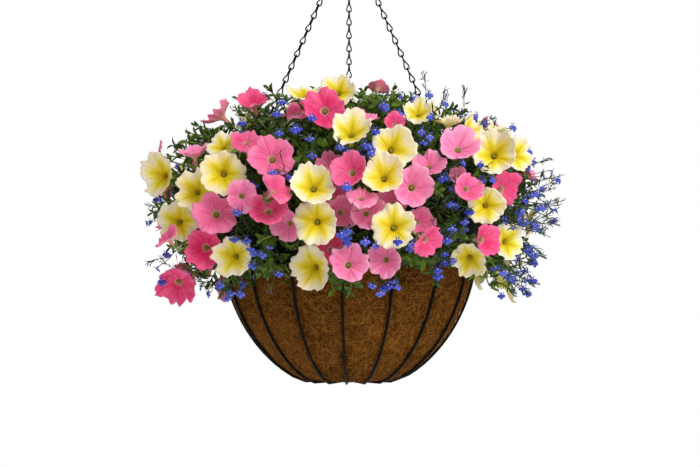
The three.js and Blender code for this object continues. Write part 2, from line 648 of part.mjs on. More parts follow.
// Leaves grow out of the core wherever one meets no flower, stem, wire or other leaf.
function leafSolids(rooms) {
  const next = draws(53);
  const made = [];
  for (let k = 0; k < LEAF.spots; k++) {
    const at = spot(CORE, k, LEAF.spots, 0.26);
    const outward = at.clone().sub(vec(0, 0, RIM_Z + CORE.lift)).normalize();
    const across = vec(-outward.y, outward.x, 0).normalize();
    const down = across.clone().cross(outward).negate();
    for (let tries = 0; tries < 6; tries++) {
      const angle = (next() - 0.5) * 2.4;
      const tangent = down.clone().multiplyScalar(Math.cos(angle)).addScaledVector(across, Math.sin(angle));
      const along = outward.clone().multiplyScalar(0.35 + 0.6 * next()).add(tangent).normalize();
      const out = outward.clone().addScaledVector(along, -outward.dot(along)).normalize();
      const size = 1.1 - 0.08 * tries;
      const root = at.clone().addScaledVector(along, -LEAF.sunk);
      const leaf = leafSolid({ root, along, out, length: LEAF.length * size, width: LEAF.width * size });
      const meets = (other) => !leaf.intersect(other).isEmpty();
      if (meets(rooms) || made.some(meets)) continue;
      made.push(leaf);
      break;
    }
  }
  return made;
}

// The leafy mass of the plants: a core on crowns that stand in the soil, hanging a little way over the rim
function foliageCore() {
  const outside = [-CORE.below, 0, 45, 85, 115].map((height) => {
    const up = height - CORE.lift;
    return [CORE.radius * Math.sqrt(1 - (up / (up > 0 ? CORE.rise : CORE.drop)) ** 2), RIM_Z + height];
  });
  const hang = RIM_RADIUS + RIM_WIRE + 9;
  const inside = [[0, RIM_Z + 9], [hang, RIM_Z + 9], [hang + 1, RIM_Z - CORE.below]];
  const body = turned([...inside, ...outside, [0, RIM_Z + CORE.lift + CORE.rise]], 20);
  return Manifold.union([body, ...CROWNS.map((at) => crown(at, 0))]);
}

// Putting it together

const front = frontBlooms();
const blooms = settle([...front, ...hiddenBlooms(front)]);
const nextSpray = draws(71);
const sprayPlaces = LOBELIA_SPRAYS.map(([x, z]) => seenOnMound(x, z));
for (const [azimuth, height] of HIDDEN_LOBELIA) {
  sprayPlaces.push(onShell(MOUND, around(MOUND.radius, radians(azimuth), RIM_Z + height), 1));
}
const sprays = sprayPlaces.map((place) => lobeliaSpray(place, blooms, nextSpray));
const trusses = [...petuniaTrusses(blooms), ...sprays];

// Where two trusses meet, the later one is cut clear of the earlier one, and what still holds together is
// kept.
const pieces = trusses.map((truss) => ({
  colour: truss.colour,
  solid: trussSolid(truss, 0),
  room: trussSolid(truss, FIT),
}));
pieces.forEach((piece, index) => {
  for (const { room } of pieces.slice(0, index)) {
    if (!piece.solid.intersect(room).isEmpty()) piece.solid = largestPiece(piece.solid.subtract(room));
  }
});

const corridors = CHAINS.flatMap((place) => chainPath(place).curves.map((line) => rod(line, CORRIDOR, 4, 1)));
const rooms = Manifold.union([...corridors, ...pieces.map((piece) => piece.room)]);
const [across, bottom, top] = [RIM_RADIUS + 9, BASE_Z - 9, RIM_Z + 7];
const basketRoom = turned([[0, bottom], [across, bottom], [across, top], [0, top]], 24);
const leafRooms = rooms.add(basketRoom);
const foliage = Manifold.union([foliageCore().subtract(rooms), ...leafSolids(leafRooms)]);

add("hanger_hook", hangerHook(), COATED_WIRE);
for (const place of CHAINS) add(place.name, chain(place), COATED_WIRE);
add("wire_basket", wireBasket(), COATED_WIRE);
add("coir_liner", coirLiner(), COIR);
add("potting_soil", pottingSoil(), SOIL);
add("foliage", largestPiece(foliage).simplify(0.01), FOLIAGE);

const NAMES = { yellow: "yellow_petunia", pink: "pink_petunia", lobelia: "blue_lobelia" };
const COLOURS = { yellow: YELLOW, pink: PINK, lobelia: BLUE };
const counts = { yellow: 0, pink: 0, lobelia: 0 };
for (const { colour, solid } of pieces) {
  counts[colour] += 1;
  add(`${NAMES[colour]}_${String(counts[colour]).padStart(2, "0")}`, solid.simplify(0.01), COLOURS[colour]);
}

export default basket;
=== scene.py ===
import math
from types import SimpleNamespace

import bmesh
import bpy
import numpy as np
from mathutils import Matrix, Vector, noise


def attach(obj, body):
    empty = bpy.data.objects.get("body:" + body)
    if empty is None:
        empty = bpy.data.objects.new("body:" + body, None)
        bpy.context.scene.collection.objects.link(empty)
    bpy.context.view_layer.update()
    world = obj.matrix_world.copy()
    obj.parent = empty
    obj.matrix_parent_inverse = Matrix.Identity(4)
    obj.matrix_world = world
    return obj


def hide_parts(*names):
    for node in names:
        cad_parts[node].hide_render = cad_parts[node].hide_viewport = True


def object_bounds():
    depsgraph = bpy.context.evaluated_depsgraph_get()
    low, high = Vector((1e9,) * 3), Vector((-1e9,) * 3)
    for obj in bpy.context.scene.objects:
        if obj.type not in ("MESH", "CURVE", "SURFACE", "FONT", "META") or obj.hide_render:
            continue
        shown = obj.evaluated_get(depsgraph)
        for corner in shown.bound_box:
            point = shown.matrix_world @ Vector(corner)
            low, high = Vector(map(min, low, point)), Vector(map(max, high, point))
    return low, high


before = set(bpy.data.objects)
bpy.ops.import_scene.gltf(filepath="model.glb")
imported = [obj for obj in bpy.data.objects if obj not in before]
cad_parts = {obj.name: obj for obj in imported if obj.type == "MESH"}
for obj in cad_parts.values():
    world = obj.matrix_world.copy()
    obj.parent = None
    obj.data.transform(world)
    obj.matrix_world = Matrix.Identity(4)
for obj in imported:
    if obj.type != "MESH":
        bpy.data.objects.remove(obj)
cad_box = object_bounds()
scene = bpy.context.scene

# The view
# The photograph was taken level with the basket's rim from 2.6 m in front, and it is 0.98 m wide there. The
# basket hangs high over a pale floor. Soft light comes from all round, and most from a large lamp above it
# at the right.
MM = 0.001  # sizes are in millimetres, and a mesh is scaled to metres when it is made
RIM_Z = -496.0
VIEW_DISTANCE = 2600.0
VIEW_BELOW_RIM = 6.0
VIEW_WIDTH = 980.0
VIEW_RIGHT = 1.4
SENSOR = 36.0
# A lamp's row: its place and size in metres, and its power in watts
LAMPS = (
    ("key_lamp", (1.4, -2.3, 1.6), 1.5, 70),
    ("fill_lamp", (2.3, -1.7, -0.3), 1.5, 17),
    ("back_lamp", (-0.9, 2.3, 1.9), 1.6, 44),
)
ROOM_LIGHT = 0.45
WHITE = (1, 1, 1, 1)
FLOOR_DROP = 4000.0
FLOOR_REACH = 12000.0
FLOOR_GLOW = 0.36

camera = bpy.data.objects.new("camera", bpy.data.cameras.new("camera"))
camera.data.sensor_width = SENSOR
camera.data.lens = SENSOR * VIEW_DISTANCE / VIEW_WIDTH
camera.location = Vector((VIEW_RIGHT, -VIEW_DISTANCE, RIM_Z - VIEW_BELOW_RIM)) * MM
camera.rotation_euler = (math.pi / 2, 0, 0)
scene.collection.objects.link(camera)
scene.camera = camera
scene.view_settings.view_transform = "Standard"

for name, place, size, power in LAMPS:
    lamp = bpy.data.objects.new(name, bpy.data.lights.new(name, "AREA"))
    lamp.data.size = size
    lamp.data.energy = power
    lamp.location = place
    aim = Vector((0, 0, RIM_Z * MM)) - lamp.location
    lamp.rotation_euler = aim.to_track_quat("-Z", "Y").to_euler()
    scene.collection.objects.link(lamp)

studio = bpy.data.worlds.new("studio")
studio.use_nodes = True
studio_nodes, studio_links = studio.node_tree.nodes, studio.node_tree.links
backdrop = studio_nodes["Background"]
backdrop.inputs["Color"].default_value = WHITE
room = studio_nodes.new("ShaderNodeBackground")
room.inputs["Strength"].default_value = ROOM_LIGHT
chosen = studio_nodes.new("ShaderNodeMixShader")
studio_links.new(studio_nodes.new("ShaderNodeLightPath").outputs["Is Camera Ray"], chosen.inputs[0])
studio_links.new(room.outputs[0], chosen.inputs[1])
studio_links.new(backdrop.outputs[0], chosen.inputs[2])
studio_links.new(chosen.outputs[0], studio_nodes["World Output"].inputs["Surface"])
scene.world = studio


def part_of(tree, kind, inputs=None, **settings):
    """A node of a finish's tree. An input is a plain value, or another node's socket to link."""
    made = tree.nodes.new("ShaderNode" + kind)
    for key, value in settings.items():
        setattr(made, key, value)
    for key, value in (inputs or {}).items():
        if isinstance(value, bpy.types.NodeSocket):
            tree.links.new(value, made.inputs[key])
        else:
            made.inputs[key].default_value = value
    return made


def new_finish(name, roughness, inputs=None):
    finish = bpy.data.materials.new(name)
    finish.use_nodes = True
    shader = finish.node_tree.nodes["Principled BSDF"]
    for key, value in {"Roughness": roughness, **(inputs or {})}.items():
        shader.inputs[key].default_value = value
    return finish


def finished(finish, base, relief=None, strength=0.0, distance=0.0):
    """The finish with its colour, and with the bumps that relief makes"""
    tree = finish.node_tree
    shader = tree.nodes["Principled BSDF"]
    tree.links.new(base, shader.inputs["Base Color"])
    if relief is not None:
        bumps = part_of(tree, "Bump", {"Height": relief, "Strength": strength, "Distance": distance})
        tree.links.new(bumps.outputs["Normal"], shader.inputs["Normal"])
    return finish


def colour(red, green, blue):
    """A colour as seen on screen, from 0 to 255, as the shader wants it"""
    shares = [value / 255 for value in (red, green, blue)]
    return *(((share + 0.055) / 1.055) ** 2.4 if share > 0.0393 else share / 12.92 for share in shares), 1


def worked(operation, first, second=0.0):
    """A sum with the values of a finish: first is a socket, and second a socket or a number"""
    return part_of(first.id_data, "Math", {0: first, 1: second}, operation=operation).outputs[0]


def times(first, second):
    return worked("MULTIPLY", first, second)


def between(value, low, high):
    """0 below low and 1 above high, with a smooth step between them"""
    limits = {"Value": value, "From Min": low, "From Max": high}
    return part_of(value.id_data, "MapRange", limits, interpolation_type="SMOOTHSTEP").outputs["Result"]


def blended(share, first, second):
    """The colour that lies a share of the way from first to second"""
    tree = next(value for value in (share, first) if isinstance(value, bpy.types.NodeSocket)).id_data
    return part_of(tree, "Mix", {0: share, 6: first, 7: second}, data_type="RGBA").outputs[2]


def seen_at(finish):
    return part_of(finish.node_tree, "TexCoord").outputs["Object"]


def split(vector):
    return part_of(vector.id_data, "SeparateXYZ", {"Vector": vector}).outputs


def speckle(where, scale, detail=3.0, distortion=0.0):
    inputs = {"Vector": where, "Scale": scale, "Detail": detail, "Distortion": distortion}
    return part_of(where.id_data, "TexNoise", inputs).outputs["Fac"]


def floor_finish():
    finish = new_finish("pale_floor", 0.9, {"Emission Color": WHITE, "Emission Strength": FLOOR_GLOW})
    return finished(finish, blended(speckle(seen_at(finish), 1.5), (0.97, 0.97, 0.97, 1), WHITE))


def new_piece(name, mesh, *finishes):
    mesh.name = name
    piece = bpy.data.objects.new(name, mesh)
    scene.collection.objects.link(piece)
    for finish in finishes:
        mesh.materials.append(finish)
    return piece


def made_mesh(shape, smooth=True):
    mesh = bpy.data.meshes.new("shape")
    shape.to_mesh(mesh)
    shape.free()
    mesh.polygons.foreach_set("use_smooth", [smooth] * len(mesh.polygons))
    return mesh


ground = bmesh.new()
bmesh.ops.create_grid(ground, x_segments=1, y_segments=1, size=FLOOR_REACH * MM)
bmesh.ops.translate(ground, vec=(0, 0, (RIM_Z - FLOOR_DROP) * MM), verts=ground.verts)
floor = new_piece("floor", made_mesh(ground, smooth=False), floor_finish())

# The hook
# One length of coated steel wire: a crook that goes over the bracket, a short shank, and an eye that the
# chains hang in. It is bent cold, and the eye is closed against the shank.
HOOK_WIRE = 2.2
HOOK_SIDES = 12
HOOK_DROP = 88.0
CROOK_RADIUS = 15.0
CROOK_ANGLES = range(195, -31, -25)
SHANK_BENDS = ((3, 0, -40), (0, 0, -52))
EYE_RADIUS = 11.0
EYE_POINTS = 32


def around(radius, azimuth, z):
    return np.array([radius * math.cos(azimuth), radius * math.sin(azimuth), z])


def upright(radius, angle, z):
    """A point of a ring that faces the front, round a centre at height z"""
    return np.array([radius * math.cos(angle), 0, z + radius * math.sin(angle)])


def coated_wire_finish():
    finish = new_finish("coated_wire", 0.5, {"Specular IOR Level": 0.09})
    where = seen_at(finish)
    shade = blended(speckle(where, 45.0), colour(3, 6, 4), colour(13, 20, 15))
    wear = between(speckle(where, 220.0, 4.0), 0.62, 0.76)
    return finished(finish, blended(wear, shade, colour(38, 38, 32)), speckle(where, 600.0), 0.25, 0.0002)


def wires(paths, radius, sides=8, closed=False, rounding=0, tips=None):
    """A mesh of round wires along paths of points in millimetres. sides is 4, 6, 8 or more. rounding is
    the steps of a smooth bend between two points, or 0 for none, and tips the share of the radius that is
    left at the end."""
    curve = bpy.data.curves.new("wires", "CURVE")
    curve.dimensions = "3D"
    curve.bevel_depth = radius * MM
    curve.bevel_resolution = (sides - 4) // 2
    curve.resolution_u = max(rounding, 1)
    curve.use_fill_caps = not closed
    for path in paths:
        spline = curve.splines.new("BEZIER" if rounding else "POLY")
        points = spline.bezier_points if rounding else spline.points
        points.add(len(path) - 1)
        flat = np.asarray(path) * MM
        if rounding:
            points.foreach_set("co", flat.ravel())
            for point in points:
                point.handle_left_type = point.handle_right_type = "AUTO"
        else:
            points.foreach_set("co", np.c_[flat, np.ones(len(flat))].ravel())
        if tips is not None:
            points.foreach_set("radius", np.linspace(1, tips, len(path)))
        spline.use_cyclic_u = closed
    holder = bpy.data.objects.new("wires", curve)
    scene.collection.objects.link(holder)
    bpy.context.view_layer.update()
    seen = holder.evaluated_get(bpy.context.evaluated_depsgraph_get())
    mesh = bpy.data.meshes.new_from_object(seen)
    mesh.materials.clear()
    mesh.polygons.foreach_set("use_smooth", [True] * len(mesh.polygons))
    bpy.data.objects.remove(holder)
    bpy.data.curves.remove(curve)
    return mesh


def joined(meshes):
    whole = bmesh.new()
    for mesh in meshes:
        whole.from_mesh(mesh)
        bpy.data.meshes.remove(mesh)
    return made_mesh(whole)


COATED_WIRE = coated_wire_finish()
crook = [upright(CROOK_RADIUS + HOOK_WIRE, math.radians(angle), -CROOK_RADIUS) for angle in CROOK_ANGLES]
shank = [np.array(point) for point in SHANK_BENDS + ((0, 0, EYE_RADIUS - HOOK_DROP),)]
eye = [upright(EYE_RADIUS, math.tau * k / EYE_POINTS, -HOOK_DROP) for k in range(EYE_POINTS)]
hook = new_piece("hook_wire", joined([
    wires([crook[::-1] + shank], HOOK_WIRE, HOOK_SIDES, rounding=5),
    wires([eye], HOOK_WIRE, HOOK_SIDES, closed=True),
]), COATED_WIRE)
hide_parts("hanger_hook")
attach(hook, "root")

# The chains
# Three jack chains of coated steel wire. Each link is one wire bent into two loops, one turned a quarter
# against the other, so every link shows one loop from the front and one from its edge.
RIM_RADIUS = 180.0
RIM_WIRE = 2.4
CHAIN_DROP = 408.0
LINK_WIRE = 1.0
LINK_PITCH = 20.0
LINK_POINTS = 24
LOOP_WIDTH = 3.1
LOOP_CROSSING = 0.9
WIDER_AT_EYE = 1.3
WIDER_AT_RIM = 1.5
FIT = 0.4
CHAIN_PUSH = SimpleNamespace(height=118.0, outwards=16.0)
# A chain's row: its azimuth at the rim, and how far right it hangs in the eye
CHAINS = (
    ("left", math.radians(210), -3.8),
    ("right", math.radians(330), 3.8),
    ("back", math.radians(90), 0.0),
)


def unit(vector):
    return vector / np.linalg.norm(vector)


def length_of(line):
    return sum(np.linalg.norm(end - start) for start, end in zip(line, line[1:]))


def point_along(line, distance):
    for start, end in zip(line, line[1:]):
        length = np.linalg.norm(end - start)
        if distance <= length:
            return start + (end - start) * distance / length
        distance -= length
    return line[-1]


def chain_line(azimuth, eye_x):
    """A chain's way from the eye to the rim wire, with a knee where the plants push it outwards"""
    eye_bottom = math.sqrt(EYE_RADIUS ** 2 - eye_x ** 2) - HOOK_WIRE
    top = np.array([eye_x, 0, -HOOK_DROP - eye_bottom + 2 * FIT + LINK_WIRE])
    foot = around(RIM_RADIUS, azimuth, RIM_Z - RIM_WIRE - FIT - LINK_WIRE)
    knee = top + (foot - top) * (1 - CHAIN_PUSH.height / CHAIN_DROP)
    return [top, knee + around(CHAIN_PUSH.outwards, azimuth, 0), foot]


def link_path(top, bottom, flat, wide_top, wide_bottom):
    """A figure of eight from top to bottom: its lower loop lies along flat, and its upper loop across it."""
    middle, half = (top + bottom) / 2, (bottom - top) / 2
    across = unit(np.cross(half, flat))
    face = unit(np.cross(across, half))
    points = []
    for k in range(LINK_POINTS):
        turn = math.tau * k / LINK_POINTS
        swing = math.sin(2 * turn)
        is_lower = math.sin(turn) > 0
        spread = face * LOOP_WIDTH * wide_bottom if is_lower else across * LOOP_WIDTH * wide_top
        apart = (face + across) * LOOP_CROSSING * math.cos(turn) * (1 - abs(math.sin(turn)))
        points.append(middle + half * math.sin(turn) + spread * swing + apart)
    return points


for name, azimuth, eye_x in CHAINS:
    line = chain_line(azimuth, eye_x)
    total = length_of(line)
    links = round(total / LINK_PITCH)
    overlap = 2 * LINK_WIRE
    length = (total + (links - 1) * overlap) / links
    paths = []
    for k in range(links):
        start = k * (length - overlap)
        top, bottom = point_along(line, start), point_along(line, min(start + length, total))
        is_last = k == links - 1
        flat = around(1, azimuth, 0) if is_last else np.array([1.0, 0, 0])
        wide_top = WIDER_AT_EYE if k == 0 else 1
        wide_bottom = WIDER_AT_RIM if is_last else 1
        paths.append(link_path(top, bottom, flat, wide_top, wide_bottom))
    piece = new_piece("links_" + name, wires(paths, LINK_WIRE, 6, closed=True), COATED_WIRE)
    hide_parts("chain_" + name)
    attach(piece, "root")

# The wire basket
# Sixteen ribs of coated steel wire, welded to a heavier rim wire at the top and to a small ring under the
# flat base. They stand a little proud of the liner, whose fibres bulge between them.
BASKET_DEPTH = 211.0
BASE_RADIUS = 64.0
BASE_Z = RIM_Z - BASKET_DEPTH
WALL_CURVE = 2.25
WALL_ROUNDING = 0.72
WALL_POINTS = 28
RIB_COUNT = 16
RIB_TURN = math.radians(-3)
RIB_WIRE = 1.75
HUB_SHARE = 6  # the hub lies as far inside the base's edge as a sixth of the wall's length
RIM_POINTS = 96
HUB_POINTS = 40


def wall_point(share):
    """The wall's radius and height, from 0 at the base to 1 at the rim"""
    spread = (1 - (1 - share) ** WALL_CURVE) ** WALL_ROUNDING
    return np.array([BASE_RADIUS + (RIM_RADIUS - BASE_RADIUS) * spread, BASE_Z + share * BASKET_DEPTH])


WALL = [wall_point(k / WALL_POINTS) for k in range(WALL_POINTS + 1)]
wall_length = length_of(WALL)
hub_radius = BASE_RADIUS - wall_length / HUB_SHARE
rib_line = [np.array([radius, BASE_Z]) for radius in (hub_radius, BASE_RADIUS - 20, BASE_RADIUS - 8)] + WALL
ribs = []
for k in range(RIB_COUNT):
    azimuth = RIB_TURN - math.pi / 2 + math.tau * k / RIB_COUNT
    ribs.append([around(radius, azimuth, z) for radius, z in rib_line])
rim = [around(RIM_RADIUS, math.tau * k / RIM_POINTS, RIM_Z) for k in range(RIM_POINTS)]
hub = [around(hub_radius, math.tau * k / HUB_POINTS, BASE_Z) for k in range(HUB_POINTS)]
basket = new_piece("basket_wires", joined([
    wires(ribs, RIB_WIRE),
    wires([rim], RIM_WIRE, closed=True),
    wires([hub], RIB_WIRE, closed=True),
]), COATED_WIRE)
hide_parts("wire_basket")
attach(basket, "root")

# The coir liner
# A moulded bowl of matted coconut fibre, 9 mm thick, bound with latex. Its surface is a felt of short curled
# fibres, painted lighter on the strands as a painted highlight where they catch the light and near-black in
# the gaps between them as painted shade, and loose ends stand out of it.
LINER_INSET = RIB_WIRE + 2 * FIT
LINER_THICKNESS = 9.0
LINER_TOP_Z = RIM_Z - 8.0
LINER_STEPS = 208
LINER_BULGE = 2.0
LINER_LUMP = 14.0
FIBRES = 3800
FIBRE_SEED = 7
FIBRE_WIRE = 0.36
FIBRE_POINTS = 5
STRAND_WAYS = 6


def wall_inside(inset, top):
    """The wall's line moved inwards and cut off at a height, from the bottom up"""
    line = []
    for k, point in enumerate(WALL):
        along = unit(WALL[min(k + 1, len(WALL) - 1)] - WALL[max(k - 1, 0)])
        z = max(point[1] + along[0] * inset, BASE_Z + inset)
        line.append(np.array([point[0] - along[1] * inset, z]))
    above = next(k for k, point in enumerate(line) if point[1] > top)
    share = (top - line[above - 1][1]) / (line[above][1] - line[above - 1][1])
    return line[:above] + [line[above - 1] + (line[above] - line[above - 1]) * share]


def spun(profile, steps, merged=0.01):
    """A body of revolution from a profile in millimetres. Points nearer than merged become one."""
    shape = bmesh.new()
    corners = [shape.verts.new((radius, 0, z)) for radius, z in profile]
    edges = [shape.edges.new(pair) for pair in zip(corners, corners[1:])]
    bmesh.ops.spin(shape, geom=corners + edges, cent=(0, 0, 0), axis=(0, 0, 1), angle=math.tau, steps=steps,
                   use_merge=True)
    if merged:
        bmesh.ops.remove_doubles(shape, verts=shape.verts, dist=merged)
    bmesh.ops.recalc_face_normals(shape, faces=shape.faces)
    return shape


def in_metres(shape):
    bmesh.ops.scale(shape, vec=(MM, MM, MM), verts=shape.verts)
    return made_mesh(shape)


def rib_share(azimuth):
    """1 on a rib and 0 half way between two"""
    return 0.5 + 0.5 * math.cos((azimuth - RIB_TURN + math.pi / 2) * RIB_COUNT)


def coir_finish(name, dark, mid, light):
    """Matted fibres: fine curved strands in six directions round the bowl, lightened as a painted highlight,
    with painted shade in the gaps between them
    """
    finish = new_finish(name, 0.95, {"Specular IOR Level": 0.02})
    tree = finish.node_tree
    where = seen_at(finish)
    x, y, z = split(where)
    round_bowl = times(worked("ARCTAN2", y, x), 0.14)
    strands = painted_shade_gaps = None
    for number in range(STRAND_WAYS):
        flat = part_of(tree, "CombineXYZ", {0: round_bowl, 1: z, 2: float(number)}).outputs[0]
        heading = (0, 0, math.pi * number / STRAND_WAYS)
        turned = part_of(tree, "Mapping", {"Vector": flat, "Rotation": heading}).outputs[0]
        drawn_out = part_of(tree, "Mapping", {"Vector": turned, "Scale": (1, 20, 1)}).outputs[0]
        grain = speckle(drawn_out, 55.0, 1.0, 0.9)
        line = between(grain, 0.58, 0.68)
        gap = between(grain, 0.42, 0.32)
        strands = line if strands is None else worked("MAXIMUM", strands, line)
        painted_shade_gaps = gap if painted_shade_gaps is None else worked("MAXIMUM", painted_shade_gaps, gap)
    base = blended(between(speckle(where, 16.0, 5.0), 0.34, 0.68), dark, mid)
    # painted shade: the gaps between the strands are darkened to near-black
    base = blended(times(painted_shade_gaps, 0.75), base, colour(30, 14, 3))
    # painted highlight: the strands are lightened as fibres that catch the light
    base = blended(times(strands, 0.72), base, light)
    return finished(finish, base, worked("SUBTRACT", strands, painted_shade_gaps), 0.8, 0.0009)


def bulged(vert):
    """Pushes a point of the liner's outside out between the ribs, in uneven lumps"""
    x, y, z = vert.co
    radius = math.hypot(x, y)
    inside = wall_point(min(max((z - BASE_Z) / BASKET_DEPTH, 0), 1))[0] - radius > 6 and z > BASE_Z + 6
    if inside or radius < 1:
        return
    here = Vector((x, y, z)) / LINER_LUMP
    lump = noise.noise(here) + 0.5 * noise.noise(here * 2.7) + 0.35 * noise.noise(here * 7)
    open_share = 1 - rib_share(math.atan2(y, x)) ** 3
    push = (0.25 + 0.75 * open_share) * LINER_BULGE * (0.55 + 0.6 * lump) * open_share
    vert.co.x += x / radius * push
    vert.co.y += y / radius * push
    if z > RIM_Z - 20:
        vert.co.z += 1.1 * noise.noise(here * 1.3 + Vector((9, 0, 0)))


outer = wall_inside(LINER_INSET, LINER_TOP_Z)
inner = wall_inside(LINER_INSET + LINER_THICKNESS, LINER_TOP_Z)[::4]
floor_line = [np.array([radius, outer[0][1]]) for radius in (0, 14, 28, 42, 52)]
inner_top = np.array([inner[-1][0], LINER_TOP_Z])
shell = spun(floor_line + outer + [inner_top] + inner[::-1] + [np.array([0, inner[0][1]])], LINER_STEPS)
for vert in shell.verts:
    bulged(vert)
# the third colour is the strands' painted highlight
felt = coir_finish("coir_felt", colour(84, 44, 10), colour(130, 76, 24), colour(178, 118, 50))
liner = new_piece("coir_shell", in_metres(shell), felt)
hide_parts("coir_liner")
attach(liner, "root")

luck = np.random.default_rng(FIBRE_SEED)
strands = []
for _ in range(FIBRES):
    azimuth, share = luck.uniform(0, math.tau), luck.uniform(0, 0.93) ** 0.8
    heading, bend = luck.uniform(0, math.tau), luck.normal(0, 0.6)
    step = luck.uniform(2.6, 6.5)
    lifted = luck.uniform(0.1, 1.3) + (luck.uniform(0, 2.2) if luck.random() < 0.12 else 0)
    line = []
    for k in range(FIBRE_POINTS):
        radius, z = wall_point(min(max(share, 0), 0.96))
        away = radius - LINER_INSET + lifted * (0.3 + math.sin(math.pi * k / (FIBRE_POINTS - 1))) - 0.3
        line.append(around(away, azimuth, z + 0.6))
        azimuth += math.cos(heading) * step / radius
        share += math.sin(heading) * step / wall_length
        heading += bend + luck.normal(0, 0.25)
    strands.append(line)
# the third colour is the strands' painted highlight
loose_coir = coir_finish("coir_strand", colour(98, 54, 14), colour(148, 92, 34), colour(190, 130, 60))
fibres = new_piece("coir_fibres", wires(strands, FIBRE_WIRE, 4, tips=0.5), loose_coir)
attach(fibres, "root")

# The potting soil
# A dark peaty mix that fills the liner to 20 mm below the rim, crumbly on top, with flecks of bark and
# perlite. The plants' crowns stand in it, and their leaves hide it from nearly every side.
SOIL_Z = RIM_Z - 20.0
SOIL_RINGS = 22
SOIL_STEPS = 96


def peat_finish():
    finish = new_finish("peat_mix", 1.0)
    where = seen_at(finish)
    base = blended(speckle(where, 90.0), colour(26, 17, 11), colour(64, 44, 30))
    base = blended(between(speckle(where, 260.0, 2.0), 0.66, 0.7), base, colour(150, 140, 126))
    return finished(finish, base, speckle(where, 180.0), 0.9, 0.002)


side = wall_inside(LINER_INSET + LINER_THICKNESS + FIT, SOIL_Z)
top_radius = side[-1][0]
bed = [np.array([0, side[0][1]])] + side[::3]
bed += [np.array([top_radius * share, SOIL_Z]) for share in np.linspace(1, 0, SOIL_RINGS)]
heap = spun(bed, SOIL_STEPS)
for vert in heap.verts:
    if vert.co.z > SOIL_Z - 1 and math.hypot(vert.co.x, vert.co.y) < top_radius - 4:
        vert.co.z += 3 * noise.noise(vert.co / 9) + 1.6 * noise.noise(vert.co / 3.5)
soil = new_piece("soil_bed", in_metres(heap), peat_finish())
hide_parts("potting_soil")
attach(soil, "root")

# Where the petunias are
# Front blooms stand where the photograph shows them, and the sides and back are planted by rule, as in the
# part's own source. Each bloom slides along its push until its petals and stalk clear those placed before.
# Smaller blooms then fill the wider gaps of the sides and back.
MOUND = SimpleNamespace(radius=285.0, rise=170.0, drop=260.0, lift=45.0)
CORE = SimpleNamespace(radius=212.0, rise=100.0, drop=300.0, lift=35.0, below=48.0)
# A bloom's row: mm right of the axis and above the rim, as seen in the photograph, degrees turned to the
# right and upwards, its width, and how far it stands nearer than the mound, where it does.
YELLOW_BLOOMS = (
    (-178, 79, -5, 5, 60), (-46, 10, -5, 0, 60), (48, 76, -5, 20, 56), (64, 6, 5, 15, 60),
    (-267, 75, -36, 0, 60), (193, 33, 5, 0, 50), (204, 107, 0, 15, 60), (-165, -38, -25, 0, 56),
    (-56, -57, -35, -10, 60), (168, -46, -10, -30, 52), (3, 141, 0, 40, 56), (-50, 64, 0, 30, 58),
    (227, -18, 35, 0, 54), (62, 114, 10, 10, 58), (-217, 54, -15, 10, 56), (-241, 10, -10, 0, 58),
    (-15, 196, 0, 25, 50), (-64, 195, -10, 60, 46), (97, 167, 0, 45, 42), (-179, 121, -20, 45, 44),
    (139, 155, 0, 75, 42), (241, 104, 40, 5, 52), (211, 141, 30, 70, 38), (175, 139, 55, 10, 46),
)
PINK_BLOOMS = (
    (-108, 104, 0, 25, 60), (90, 60, 5, 5, 56), (-1, -47, 0, 15, 53), (48, -43, -20, 0, 47),
    (-203, -26, -10, 0, 54), (-242, -82, -15, -35, 58), (-34, 171, 0, 20, 58), (155, 120, 10, 38, 56),
    (-188, 26, -5, 20, 60), (27, 24, 10, 10, 46, -22), (-252, -8, -60, 45, 38, 60), (-113, 31, 0, 30, 50),
    (-151, 45, 0, -5, 44), (223, 55, 42, -5, 54), (191, -15, 40, 0, 46, 24), (113, 93, 0, 30, 44),
    (-216, 110, -10, 70, 42), (-144, 129, 0, 55, 44), (-185, 163, -85, 40, 46), (-136, 181, -20, 50, 46),
    (-274, 107, -80, 25, 44), (-76, 176, -30, 50, 44, -40), (-90, 6, -30, -10, 46), (-100, 59, 50, 40, 44),
    (104, 10, 40, 0, 42), (112, -18, 40, -20, 42), (170, 60, 35, 20, 42), (1, 83, -20, 20, 50),
    (18, 50, 10, 50, 40), (-8, 26, 20, 10, 46, -42), (-24, 48, 0, 30, 44, -45), (62, 40, -10, 20, 44, -45),
    (-26, -26, 0, 15, 44, -48), (-27, 98, 0, 45, 40), (22, 163, 40, 60, 40), (64, 150, 0, 30, 28),
    (42, 200, 150, 50, 30), (155, 78, 0, 20, 26),
)
HIDDEN_MOUND = SimpleNamespace(radius=264.0, rise=134.0, drop=250.0, lift=45.0)
HIDDEN = SimpleNamespace(seed=29, spots=150, spacing=69.0, width=50.0, from_y=-45.0)
FILLERS = SimpleNamespace(seed=47, spots=260, spacing=46.0, width=40.0, from_y=15.0)
LOWEST_SPOT = 0.55
TOP_FROM = 140.0  # above this height the blooms also come forward over the top
LIFT_SHARE = 0.7
AIM_SPREAD = 0.7
WIDTH_SPREAD = 11.0
FRONT_SEED = 11
SIGHT = SimpleNamespace(start=0.87, step=0.001, steps=116)
ROOT = SimpleNamespace(share=0.93, low_share=0.97, above_hem=8.0)
YELLOW_SHARE = 0.42
BLOOM_WIDTH = 60.0
THROAT = SimpleNamespace(radius=6.6, depth=13.0)
TUBE_DEPTH = 36.0
MERIDIAN = np.array([[0, -TUBE_DEPTH], [3.3, -24.5], [6.6, -13], [14, -9], [22, -4.5], [30, 0]])
MERIDIANS = 10
EDGE_POINTS = 24
STALK_STRAIGHT = 20.0
STALK_POINTS = 13
PETAL_CLEARANCE = 2.0
CHAIN_CLEARANCE = 7.0
CHAIN_POINTS = 90
BASKET_CLEARANCE = SimpleNamespace(outwards=12.0, up=8.0)
